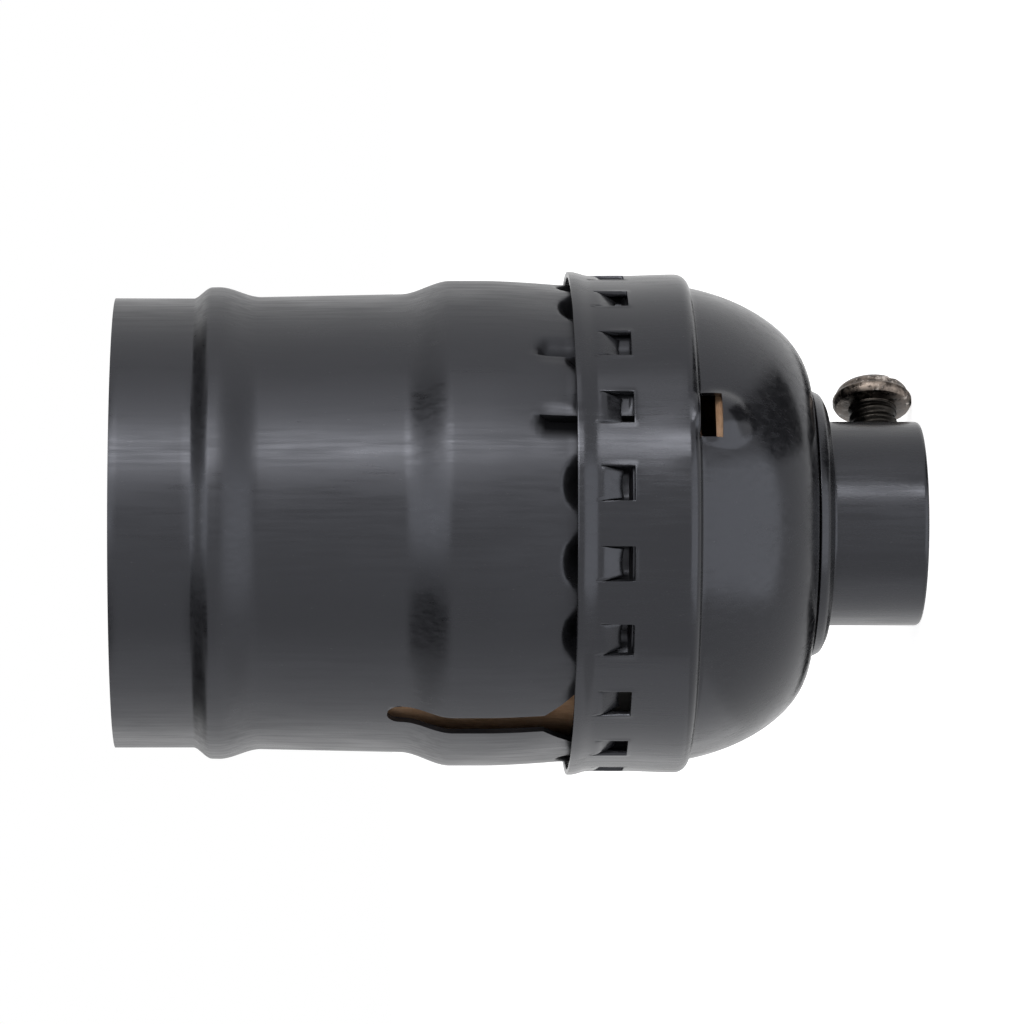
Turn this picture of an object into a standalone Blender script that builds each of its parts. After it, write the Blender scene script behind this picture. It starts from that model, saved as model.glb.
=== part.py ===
"""Keyless lamp socket with a spun metal shell, standing on its neck with the mouth up.

The axis of the socket is Z, the end of the neck is at z = 0 and the bulb goes in from
above. Angles round the axis are measured from -Y, the front, towards +X.
"""

import math

import bmesh
import bpy
from mathutils import Matrix, Vector
from mathutils.geometry import interpolate_bezier, intersect_point_line

MM = 0.001

# Fit between neighbouring pieces
CLEARANCE = 0.3 * MM

# Threaded screw shell, whose thread is set by the bulb
THREAD_RIDGE_RADIUS = 13.7 * MM
THREAD_PITCH = 3.63 * MM
THREAD_DEPTH = 0.9 * MM
SCREW_SHELL_WALL = 0.35 * MM
SCREW_SHELL_BELOW_MOUTH = 3.7 * MM
SCREW_SHELL_RIM = 1.3 * MM
SCREW_SHELL_BASE = 1.9 * MM
SCREW_SHELL_LEDGE = 5.5 * MM
SCREW_SHELL_HOLE_RADIUS = THREAD_RIDGE_RADIUS - SCREW_SHELL_LEDGE

# Insulating body round the screw shell's foot
BODY_WALL = 2.4 * MM
BODY_RADIUS = THREAD_RIDGE_RADIUS + BODY_WALL
BODY_EDGE = 0.3 * MM
DECK_THICKNESS = 3.2 * MM
WIRE_CAVITY_WALL = 3.1 * MM
WIRE_CAVITY_RADIUS = BODY_RADIUS - WIRE_CAVITY_WALL
BODY_FLOOR_THICKNESS = 1.0 * MM
SHELL_RIVET_X = SCREW_SHELL_HOLE_RADIUS + 2.3 * MM
NOTCH_WALL_X = SHELL_RIVET_X - 3.0 * MM
TERMINAL_BAY_WIDTH = 11.0 * MM
TERMINAL_BAY_HEIGHT = 8.6 * MM
TERMINAL_BAY_FLOOR = 0.25 * MM
RIVET_POCKET_HEIGHT = 2.4 * MM
WIRE_HOLE_RADIUS = 1.6 * MM
WIRE_HOLE_INSET = 3.2 * MM
WIRE_HOLE_X = BODY_RADIUS - WIRE_HOLE_INSET

# Shell liner, a rolled paper sleeve round the body
LINER_PLAY = 0.35 * MM
LINER_WALL = 0.6 * MM
LINER_RADIUS = BODY_RADIUS + LINER_PLAY + LINER_WALL
LINER_BELOW_MOUTH = 1.3 * MM
LINER_ABOVE_SHELL_END = 4.35 * MM

# Outer shell, from the mouth down
SHELL_WALL = 0.45 * MM
SHELL_PLAY = 0.4 * MM
MOUTH_RADIUS = LINER_RADIUS + SHELL_PLAY + SHELL_WALL
MOUTH_BAND_HEIGHT = 5.9 * MM
BEAD_HEIGHT = 5.0 * MM
BEAD_RISE = 0.82 * MM
BARREL_TOP_RADIUS = MOUTH_RADIUS + 0.13 * MM
BARREL_FOOT_RADIUS = BARREL_TOP_RADIUS + 0.21 * MM
BARREL_HEIGHT = 12.1 * MM
SHOULDER_HEIGHT = 4.2 * MM
SHOULDER_STEP = 1.12 * MM
SHOULDER_RADIUS = BARREL_FOOT_RADIUS + SHOULDER_STEP
SHOULDER_LAND = 2.3 * MM
SKIRT_RADIUS = SHOULDER_RADIUS - 0.32 * MM
SKIRT_TAPER_HEIGHT = 4.4 * MM
SKIRT_PLAIN_HEIGHT = 0.7 * MM
POCKET_CLEAR_OF_LINER = 0.04 * MM
POCKET_DEPTH = SKIRT_RADIUS - SHELL_WALL - LINER_RADIUS - POCKET_CLEAR_OF_LINER
POCKET_HEIGHT = 5.4 * MM
POCKET_LEDGE = 0.25 * MM
SKIRT_END_HEIGHT = 0.3 * MM

# Openings cut in the outer shell
LONG_SLOT_ANGLE = math.radians(-57.2)
LONG_SLOT_WIDTH = 2.3 * MM
LONG_SLOT_TOP = 19.15 * MM
LONG_SLOT_FLARE = 6.75 * MM
LONG_SLOT_FLARE_WIDTH = 11.0 * MM
SHORT_SLOT_ANGLES = (math.radians(22.8), math.radians(46.0))
SHORT_SLOT_WIDTH = 1.85 * MM
SHORT_SLOT_TOP = 7.75 * MM

# Neck bushing, whose bore is set by the lamp pipe
BORE_RADIUS = 4.6 * MM
BORE_CHAMFER = 0.35 * MM
NECK_WALL = 3.5 * MM
NECK_RADIUS = BORE_RADIUS + NECK_WALL
NECK_LENGTH = 8.05 * MM
NECK_EDGE_RADIUS = 0.9 * MM
NECK_ROOT_FILLET = 0.35 * MM
FLANGE_RADIUS = NECK_RADIUS + 2.6 * MM
FLANGE_THICKNESS = 0.65 * MM
FLANGE_EDGE = 0.18 * MM
SPIGOT_RADIUS = BORE_RADIUS + 1.8 * MM
PEEN_RADIUS = SPIGOT_RADIUS + 1.1 * MM
PEEN_HEIGHT = 0.8 * MM
WASHER_RADIUS = PEEN_RADIUS + 2.1 * MM
WASHER_THICKNESS = 0.8 * MM

# Cap: a dome under a straight band, with a flared lip, round the shell's skirt
CAP_WALL = 0.45 * MM
CAP_PLAY = 0.31 * MM
BAND_WAIST_RADIUS = SKIRT_RADIUS + CAP_PLAY + CAP_WALL
BAND_RADIUS = BAND_WAIST_RADIUS + 0.12 * MM
BAND_CORNER_RADIUS = 1.05 * MM
CREASE_RADIUS = BAND_RADIUS - BAND_CORNER_RADIUS
BAND_HEIGHT = 9.62 * MM
LIP_RADIUS = BAND_WAIST_RADIUS + 0.3 * MM
LIP_HEIGHT = 1.2 * MM
DOME_FOOT_RADIUS = FLANGE_RADIUS + 0.3 * MM
DOME_HEIGHT = 9.68 * MM
NOTCH_COUNT = 20
NOTCH_WIDTH = 2.7 * MM
NOTCH_LENGTH = 2.54 * MM
TONGUE_LENGTH = 1.75 * MM
TONGUE_DEPTH = POCKET_DEPTH / 2
TONGUE_TAPER = 0.2 * MM
NOTCH_BELOW_LIP = 2.0 * MM
WINDOW_ANGLE = math.radians(27.3)
WINDOW_WIDTH = 3.8 * MM
WINDOW_HEIGHT = 1.75 * MM
WINDOW_BELOW_CREASE = 0.2 * MM
HOOD_RADIUS = 2.5 * MM
HOOD_RISE = 0.75 * MM

# Body flange, inside the cap's band
BODY_FLANGE_PLAY = 0.25 * MM
BODY_FLANGE_RADIUS = BAND_WAIST_RADIUS - CAP_WALL - BODY_FLANGE_PLAY

# Cap liner, a moulded paper cup
CAP_LINER_WALL = 0.5 * MM
CAP_LINER_BELOW_CREASE = 1.2 * MM
CAP_LINER_HOLE_RADIUS = DOME_FOOT_RADIUS + 0.9 * MM

# Centre contact, a bent leaf held by a rivet inside the screw shell's hole
CONTACT_WIDTH = 5.6 * MM
CONTACT_WALL = 0.4 * MM
CONTACT_RISE = 3.6 * MM
CONTACT_SPAN = 9.6 * MM
CONTACT_ROOT_X = 1.8 * MM - SCREW_SHELL_HOLE_RADIUS
CONTACT_TIP_X = CONTACT_ROOT_X + CONTACT_SPAN
CONTACT_RIVET_X = CONTACT_ROOT_X + 1.5 * MM

# Terminals and rivets
PLATE_WALL = 0.8 * MM
PLATE_WIDTH = 6.0 * MM
PLATE_FOOT = 0.4 * MM
TAB_BEYOND_RIVET = 2.1 * MM
RIVET_SHANK_RADIUS = 0.9 * MM
RIVET_HEAD_RADIUS = 1.5 * MM
RIVET_HEAD_HEIGHT = 0.65 * MM
TERMINAL_SCREW_RADIUS = 1.55 * MM
TERMINAL_SCREW_LENGTH = 3.0 * MM
TERMINAL_HEAD_RADIUS = 2.9 * MM
TERMINAL_HEAD_HEIGHT = 2.2 * MM
TERMINAL_SCREW_ABOVE_BAY = TERMINAL_HEAD_RADIUS + CLEARANCE

# Set screw in the neck, turned out far enough to let a pipe in
SET_SCREW_ANGLE = math.radians(117.0)
SET_SCREW_HEIGHT = 3.5 * MM
SET_SCREW_RADIUS = 1.95 * MM
SET_SCREW_LENGTH = 5.2 * MM
SET_SCREW_HEAD_RADIUS = 3.2 * MM
SET_SCREW_HEAD_HEIGHT = 2.1 * MM
SET_SCREW_STANDOFF = 2.0 * MM
SLOT_WIDTH = 0.8 * MM
SLOT_DEPTH = 0.9 * MM

# How far cutters reach past the walls that they cut
CUTTER_INWARDS = 4.0 * MM
CUTTER_OUTWARDS = 3.0 * MM

# Smoothness of round pieces
COLUMNS = 2 * NOTCH_COUNT
ROUND_STEPS = 30
SMALL_STEPS = 16
THREAD_COLUMNS = 20
THREAD_ROWS_PER_TURN = 4

# Levels along the axis, from the neck upwards
FLANGE_Z = NECK_LENGTH + FLANGE_THICKNESS
DOME_Z = FLANGE_Z + CLEARANCE
CREASE_Z = DOME_Z + DOME_HEIGHT
LIP_Z = CREASE_Z + BAND_HEIGHT
NOTCH_TOP_Z = LIP_Z - NOTCH_BELOW_LIP
NOTCH_FOOT_Z = NOTCH_TOP_Z - NOTCH_LENGTH
TONGUE_END_Z = NOTCH_TOP_Z - TONGUE_LENGTH
WASHER_Z = DOME_Z + CAP_WALL + CLEARANCE
PEEN_Z = WASHER_Z + WASHER_THICKNESS + CLEARANCE
BODY_Z = CREASE_Z + CAP_WALL + CLEARANCE
POCKET_FOOT_Z = TONGUE_END_Z - CLEARANCE - 0.05 * MM
POCKET_TOP_Z = POCKET_FOOT_Z + POCKET_HEIGHT
SHELL_END_Z = POCKET_FOOT_Z - POCKET_LEDGE - SKIRT_END_HEIGHT
SKIRT_Z = POCKET_TOP_Z + SKIRT_PLAIN_HEIGHT
LAND_Z = SKIRT_Z + SKIRT_TAPER_HEIGHT
SHOULDER_FOOT_Z = LAND_Z + SHOULDER_LAND
BARREL_FOOT_Z = SHOULDER_FOOT_Z + SHOULDER_HEIGHT
BEAD_FOOT_Z = BARREL_FOOT_Z + BARREL_HEIGHT
BEAD_TOP_Z = BEAD_FOOT_Z + BEAD_HEIGHT
MOUTH_Z = BEAD_TOP_Z + MOUTH_BAND_HEIGHT
BODY_FLANGE_Z = SHELL_END_Z - CLEARANCE
BAY_FLOOR_Z = BODY_FLANGE_Z + TERMINAL_BAY_FLOOR
DECK_UNDER_Z = BAY_FLOOR_Z + TERMINAL_BAY_HEIGHT
DECK_Z = DECK_UNDER_Z + DECK_THICKNESS
TAB_Z = DECK_UNDER_Z - CLEARANCE - PLATE_WALL / 2
SCREW_SHELL_Z = DECK_Z + CLEARANCE
SCREW_SHELL_TOP_Z = MOUTH_Z - SCREW_SHELL_BELOW_MOUTH
TERMINAL_SCREW_Z = BAY_FLOOR_Z + TERMINAL_SCREW_ABOVE_BAY
PLATE_X = NOTCH_WALL_X + CLEARANCE + PLATE_WALL / 2


def clear_scene():
    for scene_object in list(bpy.context.scene.objects):
        bpy.data.objects.remove(scene_object, do_unlink=True)


def new_collection(name):
    collection = bpy.data.collections.new(name)
    bpy.context.scene.collection.children.link(collection)
    return collection


clear_scene()
PART = new_collection("lamp_socket")
CUTTERS = new_collection("cutters")


def new_material(name, colour, roughness, metallic):
    material = bpy.data.materials.new(name)
    material.use_nodes = True
    shader = material.node_tree.nodes["Principled BSDF"]
    shader.inputs["Base Color"].default_value = (*colour, 1.0)
    shader.inputs["Roughness"].default_value = roughness
    shader.inputs["Metallic"].default_value = metallic
    return material


BLACK_METAL = new_material("black_anodised_aluminium", (0.09, 0.09, 0.095), 0.35, 1.0)
BRONZE_SCREW = new_material("antique_plated_steel", (0.20, 0.17, 0.15), 0.35, 1.0)
BROWN_PAPER = new_material("fish_paper", (0.30, 0.19, 0.12), 0.85, 0.0)
PHENOLIC = new_material("phenolic", (0.035, 0.03, 0.03), 0.45, 0.0)
PLAIN_ALUMINIUM = new_material("plain_aluminium", (0.72, 0.72, 0.72), 0.3, 1.0)
BRASS = new_material("brass", (0.72, 0.52, 0.25), 0.3, 1.0)
NICKEL = new_material("nickel_plate", (0.65, 0.62, 0.58), 0.3, 1.0)
STEEL = new_material("zinc_plated_steel", (0.6, 0.6, 0.62), 0.4, 1.0)


def add_mesh_object(name, mesh, material):
    piece = bpy.data.objects.new(name, mesh)
    mesh.materials.append(material)
    PART.objects.link(piece)
    return piece


def add_cutter(name, mesh):
    cutter = bpy.data.objects.new(name, mesh)
    cutter.hide_render = True
    cutter.display_type = "WIRE"
    CUTTERS.objects.link(cutter)
    return cutter


def polyline_mesh(name, points, closed):
    """A profile in the XZ plane, as vertices and edges only."""
    bm = bmesh.new()
    verts = [bm.verts.new((x, 0.0, z)) for x, z in points]
    for first, second in zip(verts, verts[1:]):
        bm.edges.new((first, second))
    if closed:
        bm.edges.new((verts[-1], verts[0]))
    mesh = bpy.data.meshes.new(name)
    bm.to_mesh(mesh)
    bm.free()
    return mesh


def turned(name, profile, material, steps=ROUND_STEPS, closed=True):
    """A solid of revolution. The profile runs down its outer side."""
    piece = add_mesh_object(name, polyline_mesh(name, profile, closed), material)
    screw = piece.modifiers.new("turn", "SCREW")
    screw.axis = "Z"
    screw.angle = math.tau
    screw.steps = steps
    screw.render_steps = steps
    screw.use_merge_vertices = True
    screw.merge_threshold = 0.000001
    screw.use_smooth_shade = False
    return piece


def cut(piece, cutter):
    boolean = piece.modifiers.new(cutter.name, "BOOLEAN")
    boolean.operation = "DIFFERENCE"
    boolean.object = cutter


def round_cutter(name, radius, start, end, steps=SMALL_STEPS):
    """A cylinder between two points."""
    axis = end - start
    bm = bmesh.new()
    bmesh.ops.create_cone(bm, cap_ends=True, segments=steps, radius1=radius, radius2=radius, depth=axis.length)
    mesh = bpy.data.meshes.new(name)
    bm.to_mesh(mesh)
    bm.free()
    cutter = add_cutter(name, mesh)
    cutter.rotation_euler = axis.to_track_quat("Z", "Y").to_euler()
    cutter.location = (start + end) / 2
    return cutter


def box_cutter(name, low, high):
    """A box between two corners."""
    bm = bmesh.new()
    bmesh.ops.create_cube(bm, size=1.0)
    size = high - low
    bmesh.ops.scale(bm, vec=size, verts=bm.verts)
    bmesh.ops.translate(bm, vec=(low + high) / 2, verts=bm.verts)
    mesh = bpy.data.meshes.new(name)
    bm.to_mesh(mesh)
    bm.free()
    return add_cutter(name, mesh)


def outline_cutter(name, outline, near, far, angle):
    """A flat outline of width and height, pushed outwards through a wall at an angle."""
    bm = bmesh.new()
    face = bm.faces.new([bm.verts.new((x, -near, z)) for x, z in outline])
    pushed = bmesh.ops.extrude_face_region(bm, geom=[face])
    moved = [item for item in pushed["geom"] if isinstance(item, bmesh.types.BMVert)]
    bmesh.ops.translate(bm, vec=(0.0, near - far, 0.0), verts=moved)
    bmesh.ops.recalc_face_normals(bm, faces=bm.faces)
    bmesh.ops.rotate(bm, cent=(0, 0, 0), matrix=Matrix.Rotation(angle, 3, "Z"), verts=bm.verts)
    mesh = bpy.data.meshes.new(name)
    bm.to_mesh(mesh)
    bm.free()
    return add_cutter(name, mesh)


def angle_of(point):
    """Angle round the axis from the front."""
    return math.atan2(point.x, -point.y)


def around(angle, radius, z):
    return Vector((radius * math.sin(angle), -radius * math.cos(angle), z))


def radius_of(point):
    return math.hypot(point.x, point.y)


def spun_sheet(profile, columns):
    """An open sheet turned from a profile, with a column of vertices on the front."""
    bm = bmesh.new()
    verts = [bm.verts.new((0.0, -radius, z)) for radius, z in profile]
    edges = [bm.edges.new(pair) for pair in zip(verts, verts[1:])]
    bmesh.ops.spin(
        bm,
        geom=verts + edges,
        cent=(0, 0, 0),
        axis=(0, 0, 1),
        angle=math.tau,
        steps=columns,
        use_merge=True,
    )
    bmesh.ops.remove_doubles(bm, verts=bm.verts, dist=0.000001)
    return bm


def profile_radius(profile, z):
    """Radius of a profile that runs steadily down the axis."""
    for (upper_radius, upper_z), (lower_radius, lower_z) in zip(profile, profile[1:]):
        if lower_z - 1e-9 <= z <= upper_z + 1e-9 and upper_z > lower_z:
            share = (upper_z - z) / (upper_z - lower_z)
            return upper_radius + (lower_radius - upper_radius) * share
    return None


def split_columns(bm, profile, low, high, cuts):
    """Adds columns to the rows between two levels, on the same surface."""
    rings = [
        edge
        for edge in bm.edges
        if abs(edge.verts[0].co.z - edge.verts[1].co.z) < 1e-7
        and low - 1e-6 <= edge.verts[0].co.z <= high + 1e-6
    ]
    bmesh.ops.subdivide_edges(bm, edges=rings, cuts=cuts, use_grid_fill=True)
    for vert in bm.verts:
        if low - 1e-6 <= vert.co.z <= high + 1e-6:
            vert.co = around(angle_of(vert.co), profile_radius(profile, vert.co.z), vert.co.z)


def face_outwards(bm):
    bmesh.ops.recalc_face_normals(bm, faces=bm.faces)
    bm.normal_update()
    outward = 0.0
    for face in bm.faces:
        centre = face.calc_center_median()
        outward += face.normal.x * centre.x + face.normal.y * centre.y
    if outward < 0.0:
        bmesh.ops.reverse_faces(bm, faces=bm.faces)


def sheet_object(name, bm, wall, material):
    """A thin pressed piece: the outer surface, thickened inwards."""
    face_outwards(bm)
    mesh = bpy.data.meshes.new(name)
    bm.to_mesh(mesh)
    bm.free()
    piece = add_mesh_object(name, mesh, material)
    solidify = piece.modifiers.new("wall", "SOLIDIFY")
    solidify.thickness = wall
    solidify.offset = -1.0
    solidify.use_even_offset = True
    piece.modifiers.new("flat faces", "TRIANGULATE")
    return piece


def arc(centre_x, centre_z, radius, start, end, steps):
    """Points on an arc, with angles in degrees from +X towards +Z."""
    points = []
    for step in range(steps + 1):
        angle = math.radians(start + (end - start) * step / steps)
        points.append((centre_x + radius * math.cos(angle), centre_z + radius * math.sin(angle)))
    return points


def ease(share):
    """Smooth rise from 0 to 1."""
    return share * share * (3.0 - 2.0 * share)


def dome_curve(steps):
    """The outer curve of the dome, from the crease down to its foot."""
    rise = DOME_HEIGHT
    spread = CREASE_RADIUS - DOME_FOOT_RADIUS
    crease = Vector((CREASE_RADIUS, CREASE_Z))
    foot = Vector((DOME_FOOT_RADIUS, DOME_Z))
    upper_handle = Vector((CREASE_RADIUS - 0.25 * spread, CREASE_Z - 0.57 * rise))
    lower_handle = Vector((DOME_FOOT_RADIUS + 0.61 * spread, DOME_Z + 0.195 * rise))
    curve = interpolate_bezier(crease, upper_handle, lower_handle, foot, steps + 1)
    return [(point.x, point.y) for point in curve]


def cap_profile():
    corner = BAND_CORNER_RADIUS
    lip_middle = (LIP_RADIUS + 3 * BAND_WAIST_RADIUS) / 4
    profile = [
        (LIP_RADIUS, LIP_Z),
        (lip_middle, LIP_Z - LIP_HEIGHT / 2),
        (BAND_WAIST_RADIUS, LIP_Z - LIP_HEIGHT),
        (BAND_WAIST_RADIUS, NOTCH_TOP_Z),
        (BAND_WAIST_RADIUS, TONGUE_END_Z),
        (BAND_WAIST_RADIUS, NOTCH_FOOT_Z),
    ]
    profile += arc(CREASE_RADIUS, CREASE_Z + corner, corner, 0.0, -90.0, 2)
    profile += dome_curve(6)[1:]
    profile.append((SPIGOT_RADIUS + CLEARANCE, DOME_Z))
    return profile


def offset_from_notch(point):
    """Angle from the middle of the nearest notch."""
    pitch = math.tau / NOTCH_COUNT
    return (angle_of(point) % pitch) - pitch / 2


def at_level(vert, z):
    return abs(vert.co.z - z) < 1e-6


def lance_notches(bm):
    """Cuts the notches in the band and bends a tongue inwards in each one."""
    half_width = NOTCH_WIDTH / 2 / BAND_WAIST_RADIUS
    quarter_pitch = math.tau / NOTCH_COUNT / 4
    for vert in bm.verts:
        offset = offset_from_notch(vert.co)
        beside = abs(abs(offset) - quarter_pitch) < 1e-4
        if beside:
            turn = math.copysign(half_width, offset) - offset
            vert.co = around(angle_of(vert.co) + turn, radius_of(vert.co), vert.co.z)
    gap_middle_z = (TONGUE_END_Z + NOTCH_FOOT_Z) / 2
    gaps = []
    for face in bm.faces:
        centre = face.calc_center_median()
        in_row = abs(centre.z - gap_middle_z) < 0.1 * MM
        if in_row and abs(offset_from_notch(centre)) < half_width:
            gaps.append(face)
    bmesh.ops.delete(bm, geom=gaps, context="FACES")
    sides = []
    for edge in bm.edges:
        lower, upper = sorted(edge.verts, key=lambda vert: vert.co.z)
        spans = at_level(lower, TONGUE_END_Z) and at_level(upper, NOTCH_TOP_Z)
        if spans and all(abs(abs(offset_from_notch(end.co)) - half_width) < 1e-3 for end in edge.verts):
            sides.append(edge)
    bmesh.ops.split_edges(bm, edges=sides)
    tongue_middle_z = (NOTCH_TOP_Z + TONGUE_END_Z) / 2
    free_ends = set()
    for face in bm.faces:
        centre = face.calc_center_median()
        in_row = abs(centre.z - tongue_middle_z) < 0.1 * MM
        if in_row and abs(offset_from_notch(centre)) < half_width:
            free_ends.update(vert for vert in face.verts if at_level(vert, TONGUE_END_Z))
    for vert in free_ends:
        offset = offset_from_notch(vert.co)
        taper = 0.0
        if abs(offset) > half_width / 2:
            taper = math.copysign(TONGUE_TAPER / BAND_WAIST_RADIUS, offset)
        vert.co = around(angle_of(vert.co) - taper, radius_of(vert.co) - TONGUE_DEPTH, vert.co.z)


def hood_centre():
    """The middle of the raised hood, at the lower edge of the window in the dome."""
    z = CREASE_Z - WINDOW_BELOW_CREASE - WINDOW_HEIGHT
    return WINDOW_ANGLE, z


def on_line(point, ends):
    nearest, share = intersect_point_line(point, *ends)
    return (nearest - point).length < 1e-7 and -1e-6 <= share <= 1.0 + 1e-6


def raise_hood(bm, profile):
    """Presses the half-round hood outwards beside the window."""
    angle, z = hood_centre()
    centre = around(angle, profile_radius(profile, z), z)
    patch = []
    for face in bm.faces:
        middle = face.calc_center_median()
        across = abs(angle_of(middle) - angle) * CREASE_RADIUS
        if across < HOOD_RADIUS and abs(middle.z - z) < HOOD_RADIUS and middle.z < CREASE_Z:
            patch.append(face)
    edges = {edge for face in patch for edge in face.edges}
    rim = [edge for edge in edges if any(face not in patch for face in edge.link_faces)]
    rim_lines = [tuple(vert.co.copy() for vert in edge.verts) for edge in rim]
    split = bmesh.ops.subdivide_edges(bm, edges=list(edges), cuts=3, use_grid_fill=True)
    verts = {item for item in split["geom_split"] + split["geom_inner"] if isinstance(item, bmesh.types.BMVert)}
    verts.update(vert for face in patch if face.is_valid for vert in face.verts)
    for vert in verts:
        if not any(on_line(vert.co, ends) for ends in rim_lines):
            radius = profile_radius(profile, vert.co.z)
            share = min(1.0, (around(angle_of(vert.co), radius, vert.co.z) - centre).length / HOOD_RADIUS)
            radius += HOOD_RISE * (1.0 - share * share) ** 1.5
            vert.co = around(angle_of(vert.co), radius, vert.co.z)
    many_sided = [face for face in bm.faces if len(face.verts) > 4]
    bmesh.ops.triangulate(bm, faces=many_sided)


def make_cap():
    profile = cap_profile()
    bm = spun_sheet(profile, COLUMNS)
    split_columns(bm, profile, NOTCH_FOOT_Z, NOTCH_TOP_Z, 1)
    lance_notches(bm)
    raise_hood(bm, profile)
    cap = sheet_object("cap", bm, CAP_WALL, BLACK_METAL)
    angle, low = hood_centre()
    high = CREASE_Z - WINDOW_BELOW_CREASE
    half = WINDOW_WIDTH / 2
    outline = [(-half, low), (half, low), (half, high), (-half, high)]
    near = CREASE_RADIUS - CUTTER_INWARDS
    far = CREASE_RADIUS + CUTTER_OUTWARDS
    cut(cap, outline_cutter("window_cutter", outline, near, far, angle))
    return cap


def shell_profile():
    """Outer surface of the shell, from the mouth down to the start of the pockets."""
    profile = [(MOUTH_RADIUS, MOUTH_Z)]
    bead_steps = 5
    for step in range(bead_steps + 1):
        share = step / bead_steps
        base = MOUTH_RADIUS + (BARREL_TOP_RADIUS - MOUTH_RADIUS) * share
        bulge = max(0.0, math.sin(math.pi * share**0.8)) ** 1.3
        profile.append((base + BEAD_RISE * bulge, BEAD_TOP_Z - BEAD_HEIGHT * share))
    shoulder_steps = 4
    for step in range(shoulder_steps + 1):
        share = step / shoulder_steps
        radius = BARREL_FOOT_RADIUS + (SHOULDER_RADIUS - BARREL_FOOT_RADIUS) * ease(share)
        profile.append((radius, BARREL_FOOT_Z - SHOULDER_HEIGHT * share))
    profile.append((SHOULDER_RADIUS, LAND_Z))
    profile.append((SKIRT_RADIUS, SKIRT_Z))
    return profile


def pocket_rows():
    """Levels of the pocketed skirt, each with how deep its pockets are."""
    return [
        (POCKET_TOP_Z, 0.0),
        (POCKET_FOOT_Z + 0.78 * POCKET_HEIGHT, 0.45),
        (POCKET_FOOT_Z + 0.56 * POCKET_HEIGHT, 1.0),
        (POCKET_FOOT_Z, 1.0),
        (POCKET_FOOT_Z - POCKET_LEDGE, 0.0),
        (SHELL_END_Z, 0.0),
    ]


def press_pockets(bm):
    """Presses a pocket behind each tongue of the cap."""
    half_pitch = math.tau / NOTCH_COUNT / 2
    flat = 0.4 * half_pitch
    for z, reach in pocket_rows():
        for vert in bm.verts:
            if at_level(vert, z):
                across = min(1.0, (half_pitch - abs(offset_from_notch(vert.co))) / (half_pitch - flat))
                depth = POCKET_DEPTH * max(0.0, across + reach - 1.0)
                vert.co = around(angle_of(vert.co), radius_of(vert.co) - depth, vert.co.z)


def long_slot_outline():
    """A round-ended slot that widens towards the end of the shell."""
    half = LONG_SLOT_WIDTH / 2
    top_z = SHELL_END_Z + LONG_SLOT_TOP
    flare_z = SHELL_END_Z + LONG_SLOT_FLARE
    end_z = SHELL_END_Z - 1 * MM
    outline = arc(0.0, top_z - half, half, 0.0, 180.0, 6)
    outline += [(-half, flare_z), (-LONG_SLOT_FLARE_WIDTH / 2, end_z)]
    outline += [(LONG_SLOT_FLARE_WIDTH / 2, end_z), (half, flare_z)]
    return outline


def short_slot_outline():
    half = SHORT_SLOT_WIDTH / 2
    top_z = SHELL_END_Z + SHORT_SLOT_TOP
    end_z = SHELL_END_Z - 1 * MM
    return arc(0.0, top_z - half, half, 0.0, 180.0, 6) + [(-half, end_z), (half, end_z)]


def make_outer_shell():
    profile = shell_profile()
    profile += [(SKIRT_RADIUS, z) for z, reach in pocket_rows()]
    bm = spun_sheet(profile, COLUMNS)
    first_dent_z = pocket_rows()[1][0]
    split_columns(bm, profile, SHELL_END_Z, first_dent_z, 1)
    press_pockets(bm)
    shell = sheet_object("outer_shell", bm, SHELL_WALL, BLACK_METAL)
    near = SKIRT_RADIUS - CUTTER_INWARDS
    far = SHOULDER_RADIUS + CUTTER_OUTWARDS
    cut(shell, outline_cutter("long_slot_cutter", long_slot_outline(), near, far, LONG_SLOT_ANGLE))
    for number, angle in enumerate(SHORT_SLOT_ANGLES, start=1):
        cut(shell, outline_cutter(f"short_slot_cutter_{number}", short_slot_outline(), near, far, angle))
    return shell


def make_shell_liner():
    top = MOUTH_Z - LINER_BELOW_MOUTH
    low = SHELL_END_Z + LINER_ABOVE_SHELL_END
    inner = LINER_RADIUS - LINER_WALL
    profile = [(LINER_RADIUS, top), (LINER_RADIUS, low), (inner, low), (inner, top)]
    return turned("shell_liner", profile, BROWN_PAPER)


def inset(curve, distance):
    """A curve moved sideways towards the axis and upwards, inside the dome."""
    moved = []
    for index, (radius, z) in enumerate(curve):
        before = curve[max(0, index - 1)]
        after = curve[min(len(curve) - 1, index + 1)]
        run = Vector((after[0] - before[0], after[1] - before[1])).normalized()
        moved.append((radius + run.y * distance, z - run.x * distance))
    return moved


def make_cap_liner():
    curve = dome_curve(6)
    rim_z = CREASE_Z - CAP_LINER_BELOW_CREASE
    outer = [
        point
        for point in inset(curve, CAP_WALL + CLEARANCE)
        if point[1] < rim_z - 0.4 * MM and point[0] > CAP_LINER_HOLE_RADIUS
    ]
    outer.insert(0, (profile_radius(inset(curve, CAP_WALL + CLEARANCE), rim_z), rim_z))
    bm = spun_sheet(outer, ROUND_STEPS)
    return sheet_object("cap_liner", bm, CAP_LINER_WALL, BROWN_PAPER)


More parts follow.
